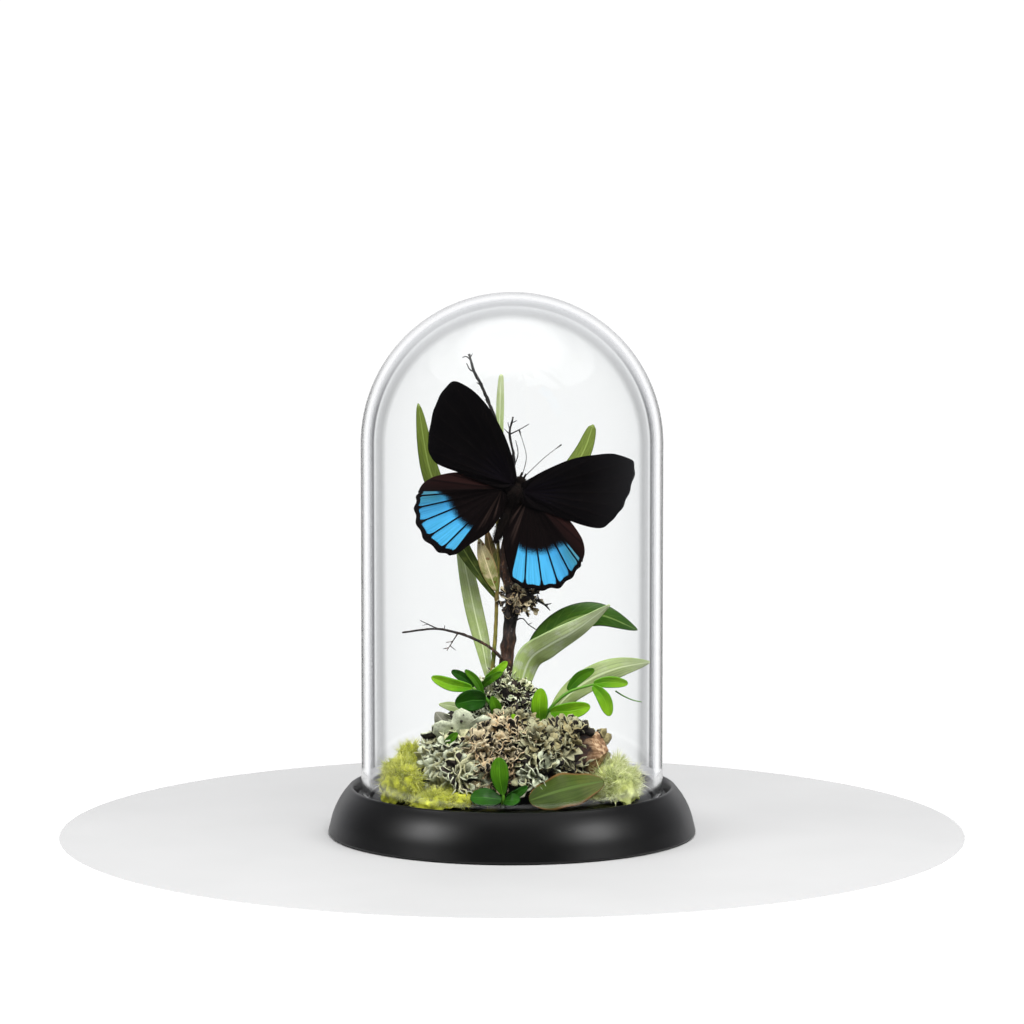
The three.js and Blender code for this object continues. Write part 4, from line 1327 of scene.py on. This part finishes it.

# %% [markdown]
# ## Moss
# The yellow green tufts are preserved moss: soft cushions of fine branching threads, bright at their tips and
# darker towards their roots, a painted shade for the depth of the cushion. Each thread is a thin bent spike,
# drawn a little thicker than real so that it still shows. The threads stand on a lumpy heart, as long as a
# slow noise says, which makes tufts.


# %% Moss finish
def moss_finish(name, deep, body, tip):
    add, finish = new_finish(name)
    axes = add("SeparateXYZ", add("TexCoord", out="UV")).node.outputs
    place = add("TexCoord", out="Object")
    region = add("TexNoise", Vector=place, Scale=per_mm(5), Detail=2.0)
    # Painted shade: a thread is darkest at its root, deep in the cushion, and brightest at its tip.
    colour = add("ValToRGB", axes["Y"], stops=[(0.05, deep), (0.45, body), (0.95, tip)])
    vary = add("ValToRGB", axes["X"], stops=[(0.0, "#d8d8c4"), (0.7, "#ffffff")])
    colour = add("MixRGB MULTIPLY", 0.8, colour, vary)
    patch = add("ValToRGB", region, stops=[(0.35, "#c8d0ac"), (0.6, "#ffffff")])
    colour = add("MixRGB MULTIPLY", 0.8, colour, patch)
    return finish({"Base Color": colour, "Roughness": 0.75, "Sheen Weight": 0.3})


# %% Moss threads
THREAD_STEPS = 3


def thread_pattern(bend, thickness):
    """A bent three-sided spike one unit long, pointing along +Y."""
    bm = bmesh.new()

    def rule(u, v):
        radius = thickness * (1 - 0.93 * v)
        angle = 2 * math.pi * u
        return Vector((math.cos(angle) * radius, v, math.sin(angle) * radius + bend * v * v))

    verts = laid_grid(bm, 3, THREAD_STEPS, rule)
    bmesh.ops.remove_doubles(bm, verts=verts, dist=thickness * 0.02)
    bmesh.ops.recalc_face_normals(bm, faces=bm.faces)
    return Pattern(bm)


THREADS = [thread_pattern(0.15, 0.05), thread_pattern(0.4, 0.045), thread_pattern(0.7, 0.05)]
CHARTREUSE = moss_finish("chartreuse_moss", "#90921e", "#d8da34", "#f6f886")
PALE_MOSS = moss_finish("pale_green_moss", "#b2bc6c", "#e8f09e", "#fcfdd0")
MOSS_HEART = plain_rough("moss_heart", "#6c701c", "#cace38", 2.5)
PALE_HEART = plain_rough("pale_moss_heart", "#949c4c", "#dae294", 2.5)


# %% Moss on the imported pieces
def scatter_threads(node, places, lengths, spread, rng, finish, clump_mm):
    """Threads at places with outward directions, longer in some tufts than in others."""
    placements = []
    for place, out in places:
        ahead = out + rng.normal(size=3) * spread
        tuft = 0.85 + 1.3 * noise.noise(Vector(place / clump_mm))
        size = rng.uniform(*lengths) * tuft
        turn = turned_to(ahead, rng.normal(size=3), size)
        if has_room(place + turn[:, 1]):
            placements.append((rng.integers(len(THREADS)), turn, place - out * 0.8, rng.random()))
    finished(copies_mesh(node + "_threads", THREADS, placements), node + "_threads", [finish], slot="moss")


# node: how many, lengths in mm, how far they stray, finish, the heart's finish, and the size of a tuft in mm
MOSSES = {
    "moss_left": (5500, (1.5, 3.4), 0.7, CHARTREUSE, MOSS_HEART, 3.0),
    "moss_front": (3800, (1.5, 3.0), 0.7, CHARTREUSE, MOSS_HEART, 3.0),
    "moss_right": (5500, (2.2, 4.6), 0.5, PALE_MOSS, PALE_HEART, 5.0),
    "moss_back": (4500, (1.6, 3.0), 0.6, CHARTREUSE, MOSS_HEART, 4.0),
}
# Two small tufts climb the crust at the left. name: centre and radii
TUFTS = {
    "moss_tuft_upper": ((-33.4, -11, 27.6), (3.4, 3.4, 4.2)),
    "moss_tuft_lower": ((-38, -12, 22.5), (3.6, 3.6, 4.4)),
}
TUFT_MOSS = (1300, (1.5, 3.2), 0.7, CHARTREUSE, MOSS_HEART, 3.0)
MOSS_SEED = 23


def build_mosses():
    rng = np.random.default_rng(MOSS_SEED)
    for node, (count, lengths, spread, finish, heart, clump_mm) in MOSSES.items():
        bm = bmesh.new()
        core(bm, node, shrink=0.5, lumps=1.4, lump_mm=2.5)
        piece(bm, node + "_heart", [heart], node, "moss")
        places = spots(node, count, rng, clear=1.0)
        scatter_threads(node, places, lengths, spread, rng, finish, clump_mm)
    count, lengths, spread, finish, heart, clump_mm = TUFT_MOSS
    for name, (centre, radii) in TUFTS.items():
        bm = bmesh.new()
        bmesh.ops.create_icosphere(bm, subdivisions=4, radius=1)
        for vert in bm.verts:
            lump = 1 + 0.3 * noise.noise(vert.co * 1.6)
            vert.co = Vector([c + r * k * lump for c, r, k in zip(centre, radii, vert.co)])
        bm.normal_update()
        bm.verts.ensure_lookup_table()
        picked = [bm.verts[i] for i in rng.integers(len(bm.verts), size=count)]
        places = [(np.array(vert.co), np.array(vert.normal)) for vert in picked]
        piece(bm, name + "_heart", [heart], slot="moss")
        scatter_threads(name, places, lengths, spread, rng, finish, clump_mm)


build_mosses()

# %% [markdown]
# ## Bark
# Under the crust lies a piece of bark or driftwood. It is a rounded lump with furrows along its length, and
# its right end is broken, with tan facets where the wood split.


# %% Bark
def rough_bark():
    add, finish = new_finish("weathered_bark")
    place = add("TexCoord", out="Object")
    grain_place = add("Mapping", place, Scale=(0.25, 1, 1))
    furrows = add("TexNoise", Vector=grain_place, Scale=per_mm(1.6), Detail=7.0, Roughness=0.62)
    cells = add("TexVoronoi", Vector=grain_place, Scale=per_mm(3.2), out="Distance")
    right = add("SeparateXYZ", place).node.outputs["X"]
    end = add("MapRange SMOOTHSTEP", right, 21 * MM, 25 * MM)
    bark_colour = add("ValToRGB", furrows, stops=[(0.35, "#17100c"), (0.52, "#4a3324"), (0.7, "#7a5a44")])
    wood = add("ValToRGB", furrows, stops=[(0.35, "#5c3a22"), (0.52, "#a1714a"), (0.7, "#dcb68c")])
    colour = add("MixRGB", end, bark_colour, wood)
    crack = add("MapRange", cells, 0.0, 0.12, 0.35, 1.0)
    colour = add("MixRGB MULTIPLY", 1.0, colour, crack)
    bump = add("Bump", Strength=0.9, Distance=0.5 * MM, Height=furrows)
    return finish({"Base Color": colour, "Normal": bump, "Roughness": 0.85})


BARK_CENTRE = Vector((-1, -6, 23))
BARK_RADII = Vector((29.5, 15.5, 13.2))
BROKEN_FROM, BARK_GAP = 0.72, 0.3


def build_bark():
    bm = bmesh.new()
    bmesh.ops.create_icosphere(bm, subdivisions=6, radius=1)
    for vert in bm.verts:
        unit = vert.co.copy()
        spot = Vector([c + r * k for c, r, k in zip(BARK_CENTRE, BARK_RADII, unit)])
        grain = Vector((spot.x * 0.3, spot.y, spot.z))
        furrow = -abs(noise.noise(grain / 2.6)) * 1.9 + noise.noise(spot / 8) * 1.6
        if unit.x > BROKEN_FROM:
            facet = noise.voronoi(spot / 4.2)[0][0]
            furrow = 1.2 - facet * 3.4
        spot += unit * furrow
        spot.z = max(spot.z, FLOOR_HEIGHT + BARK_GAP)
        vert.co = spot
    piece(bm, "bark_log", [ROUGH_BARK], "bark_chunk", "bark")


ROUGH_BARK = rough_bark()
build_bark()

# %% [markdown]
# ### The broken end
# At the right the wood has snapped. Fresh breaks show as flat tan facets with sharp edges between them, so
# this piece is a ball cut by a few planes and left flat shaded.

# %% Broken wood
def broken_wood():
    add, finish = new_finish("freshly_broken_wood")
    place = add("TexCoord", out="Object")
    along = add("Mapping", place, Rotation=(0.0, 0.5, 0.0), Scale=(0.3, 1, 1))
    grain = add("TexNoise", Vector=along, Scale=per_mm(1.3), Detail=6.0)
    dark_patches = add("TexNoise", Vector=place, Scale=per_mm(5), Detail=3.0)
    colour = add("ValToRGB", grain, stops=[(0.3, "#3a2416"), (0.48, "#8a6646"), (0.66, "#cdb08c")])
    darker_near_log = add("ValToRGB", grain, stops=[(0.35, "#120a07"), (0.6, "#402618")])
    # Darker in patches towards its left end, where the broken wood meets the log.
    right = add("SeparateXYZ", place).node.outputs["X"]
    share = add("MapRange", right, 21 * MM, 29 * MM, 0.85, 0.1)
    share = add("Math ADD", share, dark_patches)
    colour = add("MixRGB", add("MapRange", share, 0.86, 1.02), colour, darker_near_log)
    bump = add("Bump", Strength=0.5, Distance=0.25 * MM, Height=grain)
    return finish({"Base Color": colour, "Normal": bump, "Roughness": 0.8})


BROKEN_WOOD = broken_wood()
STUMP_RADII = Vector((6.6, 5.2, 7.2))
LONG_EDGE = 0.3
# Directions of the cuts and how far from the centre each one goes, as a share of the radius.
STUMP_CUTS = [((1, -0.6, 0.7), 0.5), ((0.3, -1, 0.0), 0.6), ((1, -0.3, -0.7), 0.55), ((-0.5, -1, 0.6), 0.66),
              ((0.1, -0.4, 1), 0.72), ((0.5, -1, -0.9), 0.62), ((1, 0.6, 0.2), 0.8)]


def build_stump():
    bm = bmesh.new()
    bmesh.ops.create_icosphere(bm, subdivisions=4, radius=1)
    for way, share in STUMP_CUTS:
        normal = Vector(way).normalized()
        geom = bm.verts[:] + bm.edges[:] + bm.faces[:]
        bmesh.ops.bisect_plane(bm, geom=geom, plane_co=normal * share, plane_no=normal, clear_outer=True)
        rims = [e for e in bm.edges if e.is_boundary]
        bmesh.ops.holes_fill(bm, edges=rims, sides=0)
    bmesh.ops.triangulate(bm, faces=[f for f in bm.faces if len(f.verts) > 4])
    bmesh.ops.subdivide_edges(bm, edges=[e for e in bm.edges if e.calc_length() > LONG_EDGE], cuts=3,
                              use_grid_fill=True)
    for vert in bm.verts:
        spot = STUMP_CENTRE + Vector([r * k for r, k in zip(STUMP_RADII, vert.co)])
        splinter = noise.noise(Vector((spot.x * 0.25, spot.y * 0.5, spot.z * 0.9)))
        vert.co = spot + vert.co * splinter * 0.4
    bmesh.ops.recalc_face_normals(bm, faces=bm.faces)
    piece(bm, "broken_wood_end", [BROKEN_WOOD], slot="bark", smooth=False)


build_stump()

# %% [markdown]
# ## Small finds
# A few small things were tucked in between: clumps of lichen that join the three large ones, one broad pale
# lobe with dark fruiting dots, tiny leaves, a bud and a tendril.

# %% Clumps between the lichens
# finish, kinds, centre, radius, how many, lengths in mm
CLUMPS = [
    (BEIGE, [0, 1, 2], (-11, -23, 32), 5.5, 60, (3, 5)),
    (CRUST, [0, 1], (7.5, -22, 33), 5.5, 55, (3.5, 6)),
    (GREY_GREEN, [0, 0, 1], (-16, -27, 23), 5.5, 40, (4.5, 7)),
    (BEIGE, [1, 2], (-8, -27, 23), 5.0, 60, (2.6, 4.4)),
    (GREY_GREEN, [0, 1], (8, -26, 24), 5.5, 45, (4, 6.5)),
    (CRUST, [1, 2], (1, -17, 38), 5.0, 60, (2.6, 4.4)),
    (GREY_GREEN, [0, 0, 1], (-24, -20, 27), 3.5, 22, (4, 6)),
    (CRUST, [0, 1], (20, -20, 34), 4.0, 30, (3.5, 5.5)),
]
CLUMP_SEED = 31
CLUMP_STEEPNESS = (0.3, 1.2)
FORWARD_AND_UP = (0, -0.5, 0.3)


def build_clumps():
    rng = np.random.default_rng(CLUMP_SEED)
    for i, (finish, kinds, centre, radius, count, sizes) in enumerate(CLUMPS, 1):
        placements = []
        for _ in range(count):
            out = rng.normal(size=3) + np.array(FORWARD_AND_UP)
            out /= np.linalg.norm(out)
            ahead, size = random_lobe(out, CLUMP_STEEPNESS, sizes, rng)
            turn = turned_to(ahead, out, size)
            place = np.array(centre) + out * radius * rng.uniform(0.6, 1.0)
            if has_room(place + turn[:, 1]):
                placements.append((rng.choice(kinds), turn, place, rng.random()))
        mesh = copies_mesh(f"lichen_clump_{i}", LOBES, placements)
        finished(mesh, f"lichen_clump_{i}", [finish, UNDERSIDE], slot="lichen")


build_clumps()

# %% Dotted lobe
DOTTED_LOBE = dict(centre=(-15.4, -22, 34.4), ahead=(-0.32, -0.2, 1), size=12)
DOTS = [(-0.12, 0.86), (0.22, 0.78), (-0.2, 0.5), (0.1, 0.6)]


def build_dotted_lobe():
    ahead = np.array(DOTTED_LOBE["ahead"])
    turn = turned_to(ahead, np.array((0, -1, 0)), DOTTED_LOBE["size"])
    place = np.array(DOTTED_LOBE["centre"])
    mesh = copies_mesh("pale_lobe", LOBES, [(0, turn, place, 0.2)])
    finished(mesh, "pale_lobe", [GREY_GREEN, UNDERSIDE], slot="lichen")
    bm = bmesh.new()
    for across, along in DOTS:
        at = turn @ np.array((across, along, 0.12 * along**2 + 0.03 * across**2 + 0.02)) + place
        dot = bmesh.ops.create_uvsphere(bm, u_segments=12, v_segments=8, radius=0.5)["verts"]
        bmesh.ops.translate(bm, verts=dot, vec=Vector(at))
    piece(bm, "fruiting_dots", [UNDERSIDE], slot="lichen")


build_dotted_lobe()

# %% Tiny leaves, bud and tendril
SCRAPS = {
    "scrap_leaf_left": (GLOSSY, [(-21.5, -26, 34.5), (-19.6, -27, 36.2), (-17.6, -27, 38)], 1.2, 1.0),
    "bud_centre": (BRIGHT, [(0.2, -22, 38.5), (0.6, -23, 41), (0.4, -23, 43.6)], 1.2, 1.2),
    "scrap_leaf_collar": (BRIGHT, [(-8.6, -9, 53), (-5, -10.5, 55.6), (-1.6, -10, 59)], 1.5, 1.0),
    "scrap_leaf_collar_low": (GLOSSY, [(-10, -9, 50.6), (-6.5, -11, 53.6), (-3.2, -11, 55.6)], 1.3, 1.0),
}
TENDRIL = [(34, -6, 48.6), (36.6, -6.4, 47), (39.8, -6.6, 45.6), (42.6, -6, 44.9)]


def build_scraps():
    for name, (finish, route, half_width, belly) in SCRAPS.items():
        bm = bmesh.new()
        lay_blade(bm, route, half_width, belly, fold=-0.2, wave=0.08, fullness=SPRIG_FULLNESS)
        thicken(piece(bm, name, [finish], slot="sprig_leaf"), BLADE_THICKNESS)
    bm = bmesh.new()
    lay_tube(bm, TENDRIL, tapered(0.28, 0.16), around=8)
    piece(bm, "tendril", [SPRIG_STEM], slot="sprig_leaf")


build_scraps()

# %% [markdown]
# ## The butterfly's body
# The body is a small furry spindle: a broad thorax that carries the wings, a round head with two eyes and two
# stubby palps, and a narrow abdomen. It is spun like the base, tilted, and covered with short hairs.

# %% The body's shape
BODY_OUTLINE = [(0, -18), (0.5, -17.8), (0.85, -17), (1.4, -13), (1.6, -9), (1.4, -5), (1.6, -3.8),
                (2.6, -2.2), (3.1, 0.2), (2.6, 2.4), (1.3, 3.6), (1.35, 4.2), (1.45, 4.8), (0.95, 5.6),
                (0, 5.9)]
BODY_STEPS, BODY_RINGS = 20, 60
# Places on the right side of the head, as for on_body.
PALP = [(0.4, 0.4, 5.0), (0.6, 0.6, 6.0), (0.7, 0.5, 7.3)]
EYE, EYE_RADIUS = (1.0, 0.5, 4.8), 0.72
TILT = Matrix.Rotation(BODY_TILT, 3, "Y")


def on_body(side, front, ahead):
    """A place given sideways, to the front and towards the head, from the thorax's centre."""
    return THORAX + TILT @ Vector((side, -front, ahead))


# %% Fur
HAIRS, FUR_SEED = 4200, 5
HAIR_LENGTHS, SWEPT_BACK = (0.6, 1.3), 1.1
SMALLEST_FACE = 1e-4


def dark_fur():
    add, finish = new_finish("brown_black_fur")
    axes = add("SeparateXYZ", add("TexCoord", out="UV")).node.outputs
    place = add("TexCoord", out="Object")
    patch = add("TexNoise", Vector=place, Scale=per_mm(2), Detail=3.0)
    colour = add("ValToRGB", patch, stops=[(0.35, "#080605"), (0.7, "#1a120e")])
    tip = add("Math MULTIPLY", axes["Y"], 0.5)
    colour = add("MixRGB", tip, colour, "#17100d")
    return finish({"Base Color": colour, "Roughness": 0.9, "Specular IOR Level": 0.1})


FUR = dark_fur()
HORN = plain_rough("dark_horn", "#0e0b0b", "#2d2624", 0.8)


def corners_of(face):
    """The face's vertices in the order they were made, which is the same in every run."""
    return sorted(face.verts, key=lambda vert: vert.index)


def hairs_on(bm):
    """Placements of the hairs, which stand at random on the body and are swept back along it."""
    rng = np.random.default_rng(FUR_SEED)
    bm.verts.index_update()
    faces = [f for f in bm.faces if f.calc_area() > SMALLEST_FACE]
    faces.sort(key=lambda face: [vert.index for vert in corners_of(face)])
    weights = np.array([f.calc_area() for f in faces])
    back = np.array(TILT @ Vector((0, 0, -1)))
    placements = []
    for pick in rng.choice(len(faces), size=HAIRS, p=weights / weights.sum()):
        face = faces[pick]
        out = np.array(face.normal)
        ahead = out + back * SWEPT_BACK + rng.normal(size=3) * 0.25
        corner = corners_of(face)[rng.integers(len(face.verts))].co
        place = np.array(face.calc_center_median().lerp(corner, rng.random()))
        turn = turned_to(ahead, out, rng.uniform(*HAIR_LENGTHS))
        placements.append((rng.integers(len(THREADS)), turn, place, rng.random()))
    return placements


# %% Build the body
def build_body():
    bm = bmesh.new()
    outline = Route([(r, 0, h) for r, h in BODY_OUTLINE])
    section = [outline.place(i / BODY_RINGS) for i in range(BODY_RINGS + 1)]
    turn_section(bm, [(max(p.x, 0), p.z) for p in section], BODY_STEPS)
    for vert in bm.verts:
        vert.co = on_body(vert.co.x, -vert.co.y, vert.co.z)
    bm.normal_update()
    fur = copies_mesh("butterfly_fur", THREADS, hairs_on(bm))
    bm.loops.layers.uv.verify()
    for side in (-1, 1):
        palp = [on_body(side * x, y, z) for x, y, z in PALP]
        lay_tube(bm, palp, lambda v: 0.42 * (1 - 0.4 * v * v), around=8)
        eye = bmesh.ops.create_uvsphere(bm, u_segments=12, v_segments=8, radius=EYE_RADIUS)["verts"]
        bmesh.ops.translate(bm, verts=eye, vec=on_body(side * EYE[0], *EYE[1:]))
    piece(bm, "butterfly_trunk", [FUR], "butterfly_body", "insect_body")
    finished(fur, "butterfly_fur", [FUR], slot="insect_body")


build_body()

# %% Antennae
ANTENNAE = {
    "antenna_left": [(3.4, -3.6, 120), (4.7, -5, 126), (3.6, -6, 131.2), (2.2, -6.4, 135.3)],
    "antenna_right": [(4.6, -3.6, 120), (10.4, -5, 125.7), (16.2, -6, 130.3)],
}
CLUB_START = 0.84


def clubbed(v):
    """An antenna's radius: it thins slowly, then swells to a small club at its end."""
    return 0.13 - 0.05 * v + 0.15 * max(0, (v - CLUB_START) / (1 - CLUB_START)) ** 0.7


def build_antennae():
    for node, route in ANTENNAE.items():
        bm = bmesh.new()
        lay_tube(bm, route, clubbed, around=8, along=40)
        piece(bm, node + "_feeler", [HORN], node, "insect_body")


build_antennae()

# %% [markdown]
# ## Table
# The object stands on a pale, matt round table top. It isn't part of the object.

# %% Table
TABLE_RADIUS = 0.15


def build_table():
    add, finish = new_finish("pale_table")
    cloud = add("TexNoise", Vector=add("TexCoord", out="Object"), Scale=per_mm(60), Detail=3.0)
    colour = add("ValToRGB", cloud, stops=[(0.3, "#a4a4a4"), (0.7, "#a8a8a8")])
    bm = bmesh.new()
    bmesh.ops.create_circle(bm, cap_ends=True, segments=128, radius=TABLE_RADIUS)
    mesh = bpy.data.meshes.new("table")
    bm.to_mesh(mesh)
    bm.free()
    mesh.materials.append(finish({"Base Color": colour, "Roughness": 0.7}))
    table = bpy.data.objects.new("table", mesh)
    bpy.context.collection.objects.link(table)
    table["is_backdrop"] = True


build_table()

# %% Sizes of the imported model and of the finished one
size = {"cad": cad_box, "visual": [list(corner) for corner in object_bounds()]}
print("visual box", size["visual"])
